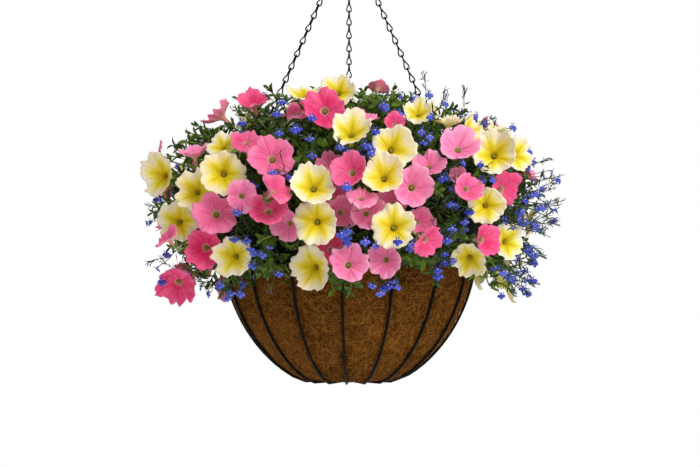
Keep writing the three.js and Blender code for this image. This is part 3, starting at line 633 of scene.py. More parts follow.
SETTLE_STEPS = (0, -7, -14, 7, -21, 14, -28, 21, -35, 28)
FILLER_STEPS = SETTLE_STEPS[:7]
FORWARD = np.array([0, -1.0, 0])
GOLDEN_TURN = math.pi * (3 - math.sqrt(5))


def draws(seed):
    """Even draws from 0 to 1, the same ones as in the part's own source"""
    state = seed
    while True:
        state = state * 16807 % 2147483647
        yield state / 2147483647


def reach(shell, point):
    """How far out a point is: 1 on the shell, and less inside"""
    up = point[..., 2] - RIM_Z - shell.lift
    height = np.where(up > 0, shell.rise, shell.drop)
    return np.hypot(np.hypot(point[..., 0], point[..., 1]) / shell.radius, up / height)


def on_shell(shell, point, share):
    centre = np.array([0, 0, RIM_Z + shell.lift])
    return centre + (point - centre) * share / reach(shell, point)


def root_for(point):
    """The place in the leafy core where the stem to a point outside it starts"""
    lowest = RIM_Z - CORE.below + ROOT.above_hem
    root = on_shell(CORE, point, ROOT.share)
    if root[2] > lowest:
        return root
    low = on_shell(CORE, np.array([point[0], point[1], lowest]), ROOT.low_share)
    return np.array([low[0], low[1], lowest])


def seen_on_mound(x, z):
    """The point of the mound seen at x right of the axis and z above the rim"""
    eye_point = np.array([0, -VIEW_DISTANCE, RIM_Z - VIEW_BELOW_RIM])
    target = np.array([x, 0, RIM_Z + z])
    shares = SIGHT.start + SIGHT.step * np.arange(SIGHT.steps)
    line = eye_point + (target - eye_point) * shares[:, None]
    inside = np.nonzero(reach(MOUND, line) <= 1)[0]
    return line[inside[0]] if len(inside) else line[-1]


def bloom_at(kind, start, turn, lift, width, push, spin):
    out = np.array([math.sin(turn) * math.cos(lift), -math.cos(turn) * math.cos(lift), math.sin(lift)])
    side = np.array([math.cos(turn), math.sin(turn), 0])
    return SimpleNamespace(kind=kind, start=start, centre=start, out=out, side=side,
                           over=np.cross(out, side), width=width, push=push, spin=spin)


def bloom_points(bloom, azimuth, radius, height):
    """Points in the bloom's own frame, drawn for one of BLOOM_WIDTH"""
    angle = np.asarray(azimuth) + bloom.spin
    arm = np.cos(angle)[..., None] * bloom.side + np.sin(angle)[..., None] * bloom.over
    scale = bloom.width / BLOOM_WIDTH
    return bloom.centre + arm * np.asarray(radius)[..., None] * scale + \
        bloom.out * np.asarray(height)[..., None] * scale


def crosses(bloom, line, clearance=PETAL_CLEARANCE):
    """Whether a line, or one of several, touches a bloom's funnel or goes through it"""
    scale = bloom.width / BLOOM_WIDTH
    offset = line - bloom.centre
    height = offset @ bloom.out / scale
    radius = np.sqrt(np.maximum((offset ** 2).sum(-1) / scale ** 2 - height ** 2, 0))
    edge = BLOOM_WIDTH / 2
    in_tube = radius < THROAT.radius
    tube_slope = (TUBE_DEPTH - THROAT.depth) / THROAT.radius
    slope = np.where(in_tube, tube_slope, THROAT.depth / (edge - THROAT.radius))
    surface = np.where(in_tube, radius * slope - TUBE_DEPTH, (radius - edge) * slope)
    gap = (height - surface) * scale / np.hypot(1, slope)
    beyond = radius > edge
    from_edge = np.hypot(radius - edge, height) * scale
    touching = np.where(beyond, from_edge < clearance, np.abs(gap) < clearance)
    sides = np.where(beyond, 0, np.sign(gap))
    return bool(touching.any() or (sides[..., 1:] * sides[..., :-1] < 0).any())


def lines_of(bloom):
    """The petals and rim of a bloom, and the way of its stalk to the core"""
    turns = (math.tau * np.arange(MERIDIANS) / MERIDIANS)[:, None]
    meridians = bloom_points(bloom, turns, MERIDIAN[None, :, 0], MERIDIAN[None, :, 1])
    edge_turns = math.tau * np.arange(EDGE_POINTS + 1) / EDGE_POINTS
    flat = np.zeros(len(edge_turns))
    edge = bloom_points(bloom, edge_turns, flat + BLOOM_WIDTH / 2, flat)
    start = bloom_points(bloom, 0.0, 0.0, -TUBE_DEPTH)
    root = root_for(bloom_points(bloom, 0.0, 0.0, -TUBE_DEPTH - STALK_STRAIGHT))
    return [meridians, edge], [start + (root - start) * np.linspace(0, 1, STALK_POINTS)[:, None]]


chain_lines = []
for _, azimuth, eye_x in CHAINS:
    line = chain_line(azimuth, eye_x)
    gap = length_of(line) / CHAIN_POINTS
    chain_lines.append(np.array([point_along(line, gap * k) for k in range(CHAIN_POINTS + 1)]))


def meets_basket(points, outwards, up):
    radius = np.hypot(points[..., 0], points[..., 1])
    return ((points[..., 2] < RIM_Z + up) & (radius < RIM_RADIUS + outwards)).any()


def is_free(bloom, others, with_stalk):
    """Whether a bloom is clear of the basket, the chains and the other blooms"""
    petals, stalk = lines_of(bloom)
    own = petals + stalk * with_stalk
    if any(meets_basket(line, BASKET_CLEARANCE.outwards, BASKET_CLEARANCE.up) for line in own):
        return False
    if any(crosses(bloom, line, CHAIN_CLEARANCE) for line in chain_lines):
        return False
    for other in others:
        if np.linalg.norm(other.centre - bloom.centre) >= 2 * BLOOM_WIDTH:
            continue
        their_petals, their_stalk = other.lines
        theirs = their_petals + their_stalk * with_stalk
        if any(crosses(other, line) for line in own) or any(crosses(bloom, line) for line in theirs):
            return False
    return True


def settled(bloom, others, steps, with_stalk):
    """Slides the bloom to the first step where it is free, and says whether there is one"""
    for step in steps:
        bloom.centre = bloom.start + bloom.push * step
        if is_free(bloom, others, with_stalk):
            return True
    bloom.centre = bloom.start
    return False


def front_blooms():
    chance = draws(FRONT_SEED)
    made = []
    for kind, rows in (("yellow", YELLOW_BLOOMS), ("pink", PINK_BLOOMS)):
        for x, z, turn, lift, width, *ahead in rows:
            start = seen_on_mound(x, z) + FORWARD * sum(ahead)
            spin = next(chance) * math.tau
            made.append(bloom_at(kind, start, math.radians(turn), math.radians(lift), width, FORWARD, spin))
    return made


def spot(shell, index, total, lowest):
    """One of a total of places spread evenly over a shell, from its top down to -lowest"""
    height = 1 - (index + 0.5) / total * (1 + lowest)
    z = RIM_Z + shell.lift + height * (shell.rise if height > 0 else shell.drop)
    return around(math.sqrt(1 - height ** 2) * shell.radius, index * GOLDEN_TURN, z)


def outwards_at(at):
    return unit(at - np.array([0, 0, RIM_Z + MOUND.lift]))


def hidden_blooms(placed, rule):
    """Blooms at evenly spread spots of the sides and back, where rule.spacing round them is free"""
    chance = draws(rule.seed)
    made = []
    for k in range(rule.spots):
        kind_draw, turn_draw, lift_draw, width_draw, spin_draw = (next(chance) for _ in range(5))
        at = spot(HIDDEN_MOUND, k, rule.spots, LOWEST_SPOT)
        is_open = all(np.linalg.norm(other.centre - at) > rule.spacing for other in placed + made)
        over_top = max(at[2] - RIM_Z - TOP_FROM, 0)
        if at[1] < rule.from_y - over_top or not is_open:
            continue
        outward = outwards_at(at)
        turn = math.atan2(outward[0], -outward[1]) + AIM_SPREAD * (turn_draw - 0.5)
        lift = math.asin(outward[2]) * LIFT_SHARE + AIM_SPREAD * (lift_draw - 0.4)
        kind = "yellow" if kind_draw < YELLOW_SHARE else "pink"
        width = rule.width + WIDTH_SPREAD * width_draw
        made.append(bloom_at(kind, at, turn, lift, width, outward, spin_draw * math.tau))
    return made


blooms = front_blooms()
FRONT = len(blooms)
blooms += hidden_blooms(blooms, HIDDEN)
for number, bloom in enumerate(blooms):
    if not settled(bloom, blooms[:number], SETTLE_STEPS, True):
        settled(bloom, blooms[:number], SETTLE_STEPS, False)
    bloom.lines = lines_of(bloom)
for bloom in hidden_blooms(blooms, FILLERS):
    if settled(bloom, blooms, FILLER_STEPS, False):
        bloom.lines = lines_of(bloom)
        blooms.append(bloom)

# The petunias
# Each bloom is one thin trumpet: five lobes with a groove down each and a notch between them, a throat, and
# a tube that a green calyx holds. Yellow ones have a golden heart on cream and a frilled edge, pink ones
# have darker veins.
FINE_STEPS = 60
PLAIN_STEPS = 34
PETAL_THICKNESS = 0.5
# the petals give off a faint painted glow in their own colour, in place of light shining through them
PETAL_PAINTED_GLOW = 0.09
LOBES = 5
FRILL = {"yellow": 1.0, "pink": 0.45}
LIMB_FROM = 5.0  # the radius at which the tube ends and the open limb starts
LIMB_WIDTH = 25.0
TONE_SEED = 101
DEEP_PINK = (4, 5, 6, 13)  # rows of PINK_BLOOMS
PALE_PINK = (1, 2, 3, 28)
# Radius and height, from the tube's end up to the plane of the edge
TRUMPET = np.array([
    [0.6, -36], [2.3, -35.6], [2.5, -30], [2.8, -24], [3.3, -18.6], [4.6, -14.4], [7.6, -11.3], [12.5, -8.4],
    [18.5, -5.8], [24, -3], [27.6, -1.1], [30, 0],
])


def trumpet_mesh(steps):
    shape = spun(TRUMPET, steps)
    if sum(face.normal.z * face.calc_area() for face in shape.faces) < 0:
        bmesh.ops.reverse_faces(shape, faces=shape.faces)
    return made_mesh(shape)


def petal_values(points):
    """Each point's azimuth, and its way along the trumpet's wall: 0 at the tube's end and 1 at the edge"""
    lengths = np.r_[0, np.cumsum(np.linalg.norm(np.diff(TRUMPET, axis=0), axis=1))]
    ring = np.abs(points[:, 2, None] - TRUMPET[None, :, 1]).argmin(1)
    return np.arctan2(points[:, 1], points[:, 0]), lengths[ring] / lengths[-1]


def ruffled(points, azimuth, frill, chance):
    """The trumpet's points as a real bloom's: lobes, notches, grooves and a wavy edge, no two alike"""
    radius = np.hypot(points[:, 0], points[:, 1])
    limb = np.clip((radius - LIMB_FROM) / LIMB_WIDTH, 0, 1)
    phase = LOBES * azimuth
    shifts = [next(chance) * math.tau for _ in range(8)]
    deep = 1.0 + 1.0 * next(chance)
    cup = 10.0 * (next(chance) - 0.5)
    depth = 0.07 + 0.11 * next(chance)
    notch = (0.5 - 0.5 * np.cos(phase + 0.3 * np.sin(azimuth + shifts[4]))) ** 4
    groove = np.exp(-(np.sin(phase / 2) / 0.2) ** 2)
    waves = np.sin(9 * azimuth + shifts[0]) + 0.8 * np.sin(13 * azimuth + shifts[1])
    frills = np.sin(18 * azimuth + shifts[2]) + 0.8 * np.sin(23 * azimuth + shifts[3])
    scallops = np.abs(np.sin(1.5 * phase + shifts[0] / 2)) - 0.64
    uneven = 0.05 * np.sin(azimuth + shifts[4]) + 0.04 * np.sin(2 * azimuth + shifts[5])
    edge = limb ** 2 * (depth * notch + 0.03 * groove - uneven) - 0.01 * limb ** 4 * waves
    radius = radius * (1 - edge + limb ** 6 * (0.5 + 0.5 * frill) * (0.06 * scallops + 0.01 * frills))
    z = points[:, 2] + limb ** 1.3 * deep * (1.5 * np.cos(phase) - 2.0 * groove - 1.6 * notch)
    z += cup * limb ** 2 + limb ** 2.5 * deep * (0.55 + 0.3 * frill) * waves
    z += limb ** 5 * (0.5 + 0.8 * frill) * frills + limb ** 2 * np.sin(2 * phase + shifts[1]) * 0.5 * deep
    z += limb ** 2 * (3.2 * np.sin(azimuth + shifts[6]) + 2.2 * np.sin(2 * azimuth + shifts[7]))
    for k in range(LOBES):
        near = (0.5 + 0.5 * np.cos(azimuth - math.tau * k / LOBES)) ** 6
        curl = next(chance)
        z += 10.0 * (curl - 0.6) * near * limb ** 2.5
        radius -= 12.0 * max(curl - 0.7, 0) * near * limb ** 3
    return np.c_[radius * np.cos(azimuth), radius * np.sin(azimuth), z]


def many(shape, places, **values):
    """One mesh of copies of shape: places holds each copy's points in millimetres, and each of values a
    share, or an array of vectors, for each copy"""
    whole = bmesh.new()
    for _ in places:
        whole.from_mesh(shape)
    mesh = made_mesh(whole)
    mesh.vertices.foreach_set("co", (np.concatenate(places) * MM).astype(np.float32).ravel())
    for key, value in values.items():
        rows = np.asarray(value, np.float32)
        if rows.ndim == 1:
            layer = mesh.attributes.new(key, "FLOAT", "POINT")
            layer.data.foreach_set("value", np.repeat(rows, len(shape.vertices)))
        else:
            layer = mesh.attributes.new(key, "FLOAT_VECTOR", "POINT")
            layer.data.foreach_set("vector", rows.reshape(-1, 3).ravel())
    mesh.update()
    return mesh


def points_of(mesh):
    points = np.empty(len(mesh.vertices) * 3, np.float32)
    mesh.vertices.foreach_get("co", points)
    return points.reshape(-1, 3).astype(float)


def placed_points(bloom, points):
    """Points of a shape drawn for BLOOM_WIDTH, put where the bloom is"""
    scale = bloom.width / BLOOM_WIDTH
    cosine, sine = math.cos(bloom.spin), math.sin(bloom.spin)
    flat = points[:, :2] @ np.array([[cosine, sine], [-sine, cosine]])
    axes = np.array([bloom.side, bloom.over, bloom.out])
    return bloom.centre + np.c_[flat, points[:, 2]] @ axes * scale


def drawn(finish, name, output="Fac"):
    """A value that is kept with the points of the mesh"""
    return part_of(finish.node_tree, "Attribute", attribute_name=name).outputs[output]


def petal_parts(name):
    """A petal's finish and what it is drawn with: the way to the edge, lobe middles, fine rays and a tone"""
    finish = new_finish(name, 0.5, {
        "Specular IOR Level": 0.2,
        "Sheen Weight": 0.04,
        "Subsurface Weight": 0.3,
        "Subsurface Radius": (1.0, 0.6, 0.4),
        "Subsurface Scale": 0.002,
        # painted glow: the petal gives off light of its own colour
        "Emission Strength": PETAL_PAINTED_GLOW,
    })
    cosine, sine, along = split(drawn(finish, "petal", "Vector"))
    swing = worked("COSINE", times(worked("ARCTAN2", sine, cosine), LOBES))
    middle = worked("ADD", times(swing, 0.5), 0.5)
    tone = drawn(finish, "tone")
    ray_place = part_of(finish.node_tree, "CombineXYZ", {
        0: times(cosine, 9.0),
        1: times(sine, 9.0),
        2: worked("ADD", times(along, 1.6), times(tone, 37.0)),
    })
    return finish, along, middle, speckle(ray_place.outputs[0], 1.0, 3.0, 0.2), tone


def petal_finished(finish, base, relief, distance):
    """A petal's colour, also given off as a faint painted glow that stands in for the light coming through
    it from behind
    """
    finish.node_tree.links.new(base, finish.node_tree.nodes["Principled BSDF"].inputs["Emission Color"])
    return finished(finish, base, relief, 0.8, distance)


def vein_lines(along, middle, rays, vein, rib):
    """How strongly the fine veins and the rib down each lobe show. They fade towards the petal's edge."""
    shown_rib = times(between(middle, 0.97, 1.0), between(along, rib.fades_at, 0.6))
    shown_vein = times(between(rays, *vein.edges), between(along, 1.05, vein.full_at))
    return worked("MAXIMUM", times(shown_vein, vein.strength), times(shown_rib, rib.strength))


def yellow_face():
    finish, along, middle, rays, tone = petal_parts("yellow_petal")
    lead = worked("ADD", times(worked("POWER", middle, 2.0), 0.12), times(rays, 0.22))
    near = worked("SUBTRACT", along, lead)
    base = blended(tone, colour(247, 230, 194), colour(250, 234, 210))
    base = blended(between(near, 0.8, 0.48), base, colour(246, 224, 64))
    base = blended(between(near, 0.63, 0.3), base, colour(220, 192, 0))
    vein = SimpleNamespace(strength=0.36, edges=(0.53, 0.67), full_at=0.5)
    rib = SimpleNamespace(strength=0.5, fades_at=0.9)
    base = blended(vein_lines(along, middle, rays, vein, rib), base, colour(196, 168, 24))
    base = blended(between(along, 0.47, 0.38), base, colour(196, 176, 24))
    return petal_finished(finish, base, rays, 0.002)


def pink_face():
    finish, along, middle, rays, tone = petal_parts("pink_petal")
    bright = blended(tone, colour(240, 44, 112), colour(255, 136, 182))
    rim = blended(tone, colour(250, 80, 140), colour(255, 168, 202))
    base = blended(between(along, 0.7, 1.0), bright, rim)
    cloud = between(speckle(seen_at(finish), 60.0, 3.0), 0.35, 0.7)
    base = blended(times(cloud, 0.25), base, colour(255, 156, 190))
    vein = SimpleNamespace(strength=0.55, edges=(0.52, 0.66), full_at=0.6)
    rib = SimpleNamespace(strength=0.7, fades_at=1.0)
    vein_colour = blended(tone, colour(188, 22, 84), colour(224, 74, 132))
    base = blended(vein_lines(along, middle, rays, vein, rib), base, vein_colour)
    base = blended(between(along, 0.53, 0.45), base, colour(224, 166, 156))
    base = blended(between(along, 0.45, 0.37), base, colour(180, 156, 96))
    return petal_finished(finish, base, rays, 0.003)


def petal_back(name, edges, streaks, strength, streak_colour):
    """The plainer back of a petal: its colours at the edge and the tube, and streaks along it"""
    finish, along, _, rays, _ = petal_parts(name)
    edge_from, at_edge, at_tube = edges
    base = blended(between(along, edge_from, 0.5), at_edge, at_tube)
    base = blended(times(between(rays, *streaks), strength), base, streak_colour)
    return petal_finished(finish, base, rays, 0.0008)


def yellow_back():
    edges = (0.95, colour(252, 246, 206), colour(236, 228, 112))
    return petal_back("yellow_petal_back", edges, (0.5, 0.64), 0.4, colour(208, 200, 96))


def pink_back():
    edges = (0.98, colour(238, 132, 164), colour(222, 158, 146))
    return petal_back("pink_petal_back", edges, (0.5, 0.62), 0.5, colour(206, 96, 128))


chance = draws(TONE_SEED)
for bloom in blooms:
    bloom.tone = next(chance)
for rows, tone in ((DEEP_PINK, 0.05), (PALE_PINK, 0.9)):
    for row in rows:
        blooms[len(YELLOW_BLOOMS) + row].tone = tone
for kind, finishes in (("yellow", (yellow_face(), yellow_back())), ("pink", (pink_face(), pink_back()))):
    meshes = []
    for steps, group in ((FINE_STEPS, blooms[:FRONT]), (PLAIN_STEPS, blooms[FRONT:])):
        mine = [bloom for bloom in group if bloom.kind == kind]
        trumpet = trumpet_mesh(steps)
        plain = points_of(trumpet)
        wall_azimuth, along_wall = petal_values(plain)
        petal_place = np.c_[np.cos(wall_azimuth), np.sin(wall_azimuth), along_wall]
        places = [placed_points(bloom, ruffled(plain, wall_azimuth, FRILL[kind], chance)) for bloom in mine]
        own_tones = [bloom.tone for bloom in mine]
        meshes.append(many(trumpet, places, tone=own_tones, petal=[petal_place] * len(mine)))
    piece = new_piece("petunia_" + kind, joined(meshes), *finishes)
    thick = piece.modifiers.new("petal", "SOLIDIFY")
    thick.thickness = PETAL_THICKNESS * MM
    thick.offset = -1
    thick.material_offset = 1
    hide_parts(*(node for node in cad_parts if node.startswith(kind + "_petunia")))
    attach(piece, "root")

# The petunias' anthers
# Five short anthers and a stigma close each throat, yellow-green and dusty with pollen. They grow on threads
# that stand hidden in the tube.
ANTHER_RADIUS = 1.05
STIGMA = np.array([0.3, 0, -14.2])
ANTHERS = [around(1.6, math.tau * k / 5, -15.4 + 0.6 * (k % 3)) for k in range(5)]


def pollen_finish():
    finish = new_finish("pollen", 0.9)
    grain = speckle(seen_at(finish), 900.0)
    return finished(finish, blended(grain, colour(128, 124, 40), colour(190, 178, 84)), grain, 0.5, 0.0003)


heart = bmesh.new()
for at in ANTHERS + [STIGMA]:
    grain = bmesh.ops.create_icosphere(heart, subdivisions=1, radius=ANTHER_RADIUS)
    bmesh.ops.translate(heart, vec=at, verts=grain["verts"])
heart_mesh = made_mesh(heart)
heart_points = points_of(heart_mesh)
anthers = many(heart_mesh, [placed_points(bloom, heart_points) for bloom in blooms])
piece = new_piece("petunia_anthers", anthers, pollen_finish())
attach(piece, "root")

# The petunias' stalks
# A soft green stalk carries each trumpet out of the leaves. It ends in a small cup, and five narrow sepals
# stand on the cup along the tube. The stalk leaves the tube straight and then bends towards the heart of the
# plant.
STALK_WIRE = 1.1
STALK_BOW = 9.0
SEPALS = 5
SEPAL = SimpleNamespace(length=15.0, width=3.4, out=2.9, foot=-35.5, lean=0.32, droop=0.28, fold=-0.3,
                        thickness=0.4)
CUP = ((0.0, -40.0), (1.6, -39.6), (3.0, -37.6), (3.3, -35.0), (2.7, -33.4))
CUP_STEPS = 7


def blade(half_width):
    """A blade along X from 0 to 1, with half_width at each share of it, and its points' places in it"""
    shape = bmesh.new()
    bmesh.ops.create_grid(shape, x_segments=4, y_segments=2, size=1)
    for vert in shape.verts:
        vert.co.x = (vert.co.x + 1) / 2
        vert.co.y *= half_width(vert.co.x)
    bmesh.ops.remove_doubles(shape, verts=shape.verts, dist=0.001)
    mesh = made_mesh(shape)
    places = [(x, y / max(half_width(x), 0.001), 0) for x, y, _ in points_of(mesh)]
    return mesh, np.array(places)


def blade_points(flat, root, along, up, length, width, droop, fold):
    """A blade's points placed in space: it starts at root, and its upper side faces up"""
    side = unit(np.cross(up, along))
    axes = np.array([along, side, np.cross(along, side)])
    rise = fold * width * np.abs(flat[:, 1]) * 2 - droop * flat[:, 0] ** 2
    return root + np.c_[flat[:, 0], flat[:, 1] * width, rise] @ axes * length


def bent(start, end, bow, steps=7):
    """Points of a smooth bend from start to end that leaves the straight line by about half of bow"""
    share = np.linspace(0, 1, steps)[:, None]
    return start + (end - start) * share + bow * 2 * share * (1 - share)


def green_finish(name, dark, light, ribs):
    """A leaf's or stem's green, mottled, with a midrib and side veins where the mesh has a place for them"""
    finish = new_finish(name, 0.42, {
        "Specular IOR Level": 0.22,
        "Subsurface Weight": 0.15,
        "Subsurface Radius": (0.5, 1.0, 0.2),
        "Subsurface Scale": 0.001,
    })
    along, across, _ = split(drawn(finish, "place", "Vector"))
    where = seen_at(finish)
    mottle = between(speckle(where, 130.0, 4.0), 0.4, 0.75)
    base = blended(times(mottle, 0.45), blended(drawn(finish, "tone"), dark, light), dark)
    off = worked("ABSOLUTE", across)
    midrib = times(between(off, 0.16, 0.04), 0.6)
    wave = times(worked("SUBTRACT", along, times(off, 0.3)), 40.0)
    lines = worked("MAXIMUM", midrib, times(between(worked("SINE", wave), 0.8, 1.0), 0.3))
    relief = worked("SUBTRACT", speckle(where, 500.0), lines)
    return finished(finish, blended(lines, base, ribs), relief, 0.4, 0.0006)


def solidified(piece, thickness):
    piece.modifiers.new("blade", "SOLIDIFY").thickness = thickness * MM


LEAF_GREEN = green_finish("leaf", colour(18, 38, 4), colour(104, 140, 22), colour(142, 168, 60))
STALK_GREEN = green_finish("stalk", colour(84, 112, 48), colour(132, 158, 84), colour(150, 176, 104))
cup_mesh = made_mesh(spun(CUP, CUP_STEPS, merged=0))
sepal_mesh, sepal_place = blade(lambda x: 0.5 * math.sqrt(max(1.1 * x + 0.25, 0)) * (1 - x ** 3))
calyx = bmesh.new()
calyx.from_mesh(cup_mesh)
calyx_points = [points_of(cup_mesh)]
calyx_places = [np.zeros((len(cup_mesh.vertices), 3))]
for k in range(SEPALS):
    arm = around(1, math.tau * k / SEPALS, 0)
    foot = arm * SEPAL.out + np.array([0, 0, SEPAL.foot])
    along = unit(arm * SEPAL.lean + np.array([0, 0, 1.0]))
    calyx.from_mesh(sepal_mesh)
    width = SEPAL.width / SEPAL.length
    calyx_points.append(blade_points(sepal_place, foot, along, -arm, SEPAL.length, width, SEPAL.droop,
                                     SEPAL.fold))
    calyx_places.append(sepal_place)
calyx_points = np.concatenate(calyx_points)
calyx_places = np.concatenate(calyx_places)
stalk_paths = []
for bloom in blooms:
    _, (line,) = bloom.lines
    top = bloom_points(bloom, 0.0, 0.0, -TUBE_DEPTH - 3)
    stalk_paths.append(bent(top, line[-1], -bloom.out * STALK_BOW))
cups = many(made_mesh(calyx), [placed_points(bloom, calyx_points) for bloom in blooms],
            tone=[next(chance) for _ in blooms], place=[calyx_places] * len(blooms))
piece = new_piece("petunia_stalks", joined([wires(stalk_paths, STALK_WIRE, 6), cups]), STALK_GREEN)
solidified(piece, SEPAL.thickness)
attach(piece, "root")

# The leafy core, painted as shade
# The middle of the plants is a dense tangle of shaded stems that nobody sees into. In its place stands a
# rounded body painted near-black green as painted shade. It hangs a little way over the rim and stands on
# the plants' crowns in the soil.
CORE_STEPS = 96
CORE_HEIGHTS = (-CORE.below, -24, 0, 24, 45, 64, 82, 98, 111, 121, 129)
CROWN_RADIUS = 7.0
CROWN_RING = 0.6 * RIM_RADIUS
CROWN_STEMS = 7
CROWN_WIRE = 2.2


def shade_core_finish():
    finish = new_finish("shaded_green", 0.9)
    where = seen_at(finish)
    # near-black greens: painted shade, a dark body where the inside of the plants lies in shade
    base = blended(speckle(where, 60.0, 4.0), colour(5, 9, 2), colour(26, 38, 10))
    return finished(finish, base, speckle(where, 150.0, 4.0), 1.0, 0.003)


hang = RIM_RADIUS + RIM_WIRE + 9
core_line = [(0, 9.0), (0.5 * hang, 9.0), (hang, 9.0), (hang + 1, -20.0), (hang + 1, -CORE.below)]
for height in CORE_HEIGHTS:
    up = height - CORE.lift
    reached = up / (CORE.rise if up > 0 else CORE.drop)
    core_line.append((CORE.radius * math.sqrt(1 - reached ** 2), height))
core_line.append((0, CORE.lift + CORE.rise))
tangle = spun([np.array([radius, RIM_Z + height]) for radius, height in core_line], CORE_STEPS)
for vert in tangle.verts:
    if math.hypot(vert.co.x, vert.co.y) > hang + 2 or vert.co.z > RIM_Z + 20:
        lump = noise.noise(vert.co / 22) + 0.6 * noise.noise(vert.co / 9)
        vert.co += Vector((vert.co.x, vert.co.y, vert.co.z - RIM_Z)).normalized() * (7 * lump - 5)
crown_paths = []
for at in [around(0, 0, 0)] + [around(CROWN_RING, math.tau * k / 5, 0) for k in range(5)]:
    for k in range(CROWN_STEMS):
        lean = around(CROWN_RADIUS, math.tau * k / CROWN_STEMS, 0) * (0.3 if k else 0)
        foot = at + lean + np.array([0, 0, SOIL_Z - 12])
        crown_paths.append(bent(foot, at + lean * 2.5 + np.array([0, 0, RIM_Z + 14]), lean))
core = joined([in_metres(tangle), wires(crown_paths, CROWN_WIRE, 6)])
piece = new_piece("painted_shade_core", core, shade_core_finish())
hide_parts("foliage")
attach(piece, "root")

# The petunias' leaves
# Leafy shoots fill the space between the core and the blooms. Each carries small pointed leaves in a spiral,
# the youngest in a tight rosette at its tip. No leaf grows where a bloom, a chain or the basket is in its
# way.
PIXEL = VIEW_WIDTH / 700  # millimetres at the basket's axis for one pixel of the photograph
AXIS_PIXEL = 349.0
RIM_PIXEL = 229.4
# The pixels of the photograph where a shoot's tip shows
SHOOTS_SEEN = (
    (187, 142), (192, 134), (183, 150), (175, 157), (200, 160), (155, 205), (153, 213), (268, 230),
    (275, 238), (262, 240), (185, 250), (190, 262), (198, 272), (206, 262), (360, 95), (370, 99),
    (382, 100), (396, 98), (420, 255), (412, 262), (428, 262), (340, 283), (350, 293), (333, 290),
    (222, 293), (245, 268), (260, 275), (505, 175), (497, 168), (482, 275), (492, 262), (430, 182),
    (438, 190), (420, 195), (325, 140), (330, 150), (255, 135), (262, 145), (238, 150), (500, 180),
    (512, 178), (300, 155), (270, 200), (372, 268), (463, 235),
)
SHOOTS = 360
LOWEST_SHOOT = 0.52
LEAF_SEED = 19
SHOOT = SimpleNamespace(leaves=13, gap=4.6, leaf=22.0, fold=0.35, wire=0.9, thickness=0.5)
LEAF_CLEARANCE = SimpleNamespace(basket_outwards=5.0, basket_up=4.0, chain=4.0, bloom=1.0, face=0.85)
NEAR_BLOOM = 100.0
FACE = SimpleNamespace(behind=3.0, before=70.0, seen=0.9)
SEEN_BRIGHT = 0.62
TIPS_PROUD = 8.0  # how far leaf tips may stand out of the part's box
BOX_LOW = np.array(cad_box[0]) / MM - TIPS_PROUD
BOX_HIGH = np.array(cad_box[1]) / MM + TIPS_PROUD
bloom_centres = np.array([bloom.centre for bloom in blooms])
chain_points = np.concatenate(chain_lines)


def meets_bloom(points, clearance, face_share):
    """Whether points touch a bloom's funnel, or stand before that share of its face"""
    near = np.linalg.norm(bloom_centres - points.mean(0), axis=1) < NEAR_BLOOM
    for number in np.nonzero(near)[0]:
        bloom = blooms[number]
        if crosses(bloom, points, clearance):
            return True
        offset = points - bloom.centre
        height = offset @ bloom.out
        radius = np.linalg.norm(offset - height[:, None] * bloom.out, axis=1)
        limit = bloom.width / 2 * face_share
        if ((height > -FACE.behind) & (height < FACE.before) & (radius < limit)).any():
            return True
        seen = np.hypot(offset[:, 0], offset[:, 2])
        if number < FRONT and ((offset[:, 1] < 0) & (seen < limit * FACE.seen)).any():
            return True
    return False


def is_clear(points, clearance=LEAF_CLEARANCE.bloom, face_share=LEAF_CLEARANCE.face):
    """Whether points are clear of the basket, the chains and the blooms, and within the object's reach"""
    if meets_basket(points, LEAF_CLEARANCE.basket_outwards, LEAF_CLEARANCE.basket_up):
        return False
    if (points < BOX_LOW).any() or (points > BOX_HIGH).any():
        return False
    apart = np.linalg.norm(points[:, None, :] - chain_points[None, :, :], axis=2)
    return apart.min() > LEAF_CLEARANCE.chain and not meets_bloom(points, clearance, face_share)


def at_pixel(across, down):
    """The place on the mound that shows at a pixel of the photograph"""
    return seen_on_mound((across - AXIS_PIXEL) * PIXEL, (RIM_PIXEL - down) * PIXEL)


leaf_mesh, leaf_place = blade(lambda x: 1.28 * max(x, 0) ** 0.75 * max(1 - x, 0) ** 0.5)
luck = np.random.default_rng(LEAF_SEED)
leaves, leaf_tones, leaf_stems = [], [], []


def grow_shoot(tip, bright):
    """A stem from the core to tip, with its leaves in a spiral that starts at the tip"""
    bow = np.array([0, 0, 10.0]) + luck.normal(0, 5, 3)
    stem = bent(root_for(tip), tip, bow, 9)
    axis = unit(stem[-1] - stem[-3])
    side = unit(np.cross(axis, [0.3, 0.1, 1]))
    over = np.cross(axis, side)
    start = luck.uniform(0, math.tau)
    grown = 0
    for k in range(SHOOT.leaves):
        at = point_along(stem[::-1], k * SHOOT.gap)
        turn = start + k * GOLDEN_TURN
        arm = side * math.cos(turn) + over * math.sin(turn)
        lean = math.radians(min(22 + 9 * k, 80) + luck.normal(0, 7))
        along = unit(axis * math.cos(lean) + arm * math.sin(lean))
        length = SHOOT.leaf * min(0.45 + 0.09 * k, 1.0) * luck.uniform(0.85, 1.15)
        width, droop = luck.uniform(0.12, 0.25), luck.uniform(0.05, 0.4)
        up = unit(axis - along * (axis @ along))
        points = blade_points(leaf_place, at, along, up, length, width, droop, SHOOT.fold)
        if is_clear(points):
            leaves.append(points)
            leaf_tones.append(np.clip(bright + luck.normal(0, 0.16) - 0.02 * k, 0, 1))
            grown += 1
    if grown > 2 and is_clear(stem[2:], clearance=0.5, face_share=0):
        leaf_stems.append(stem)


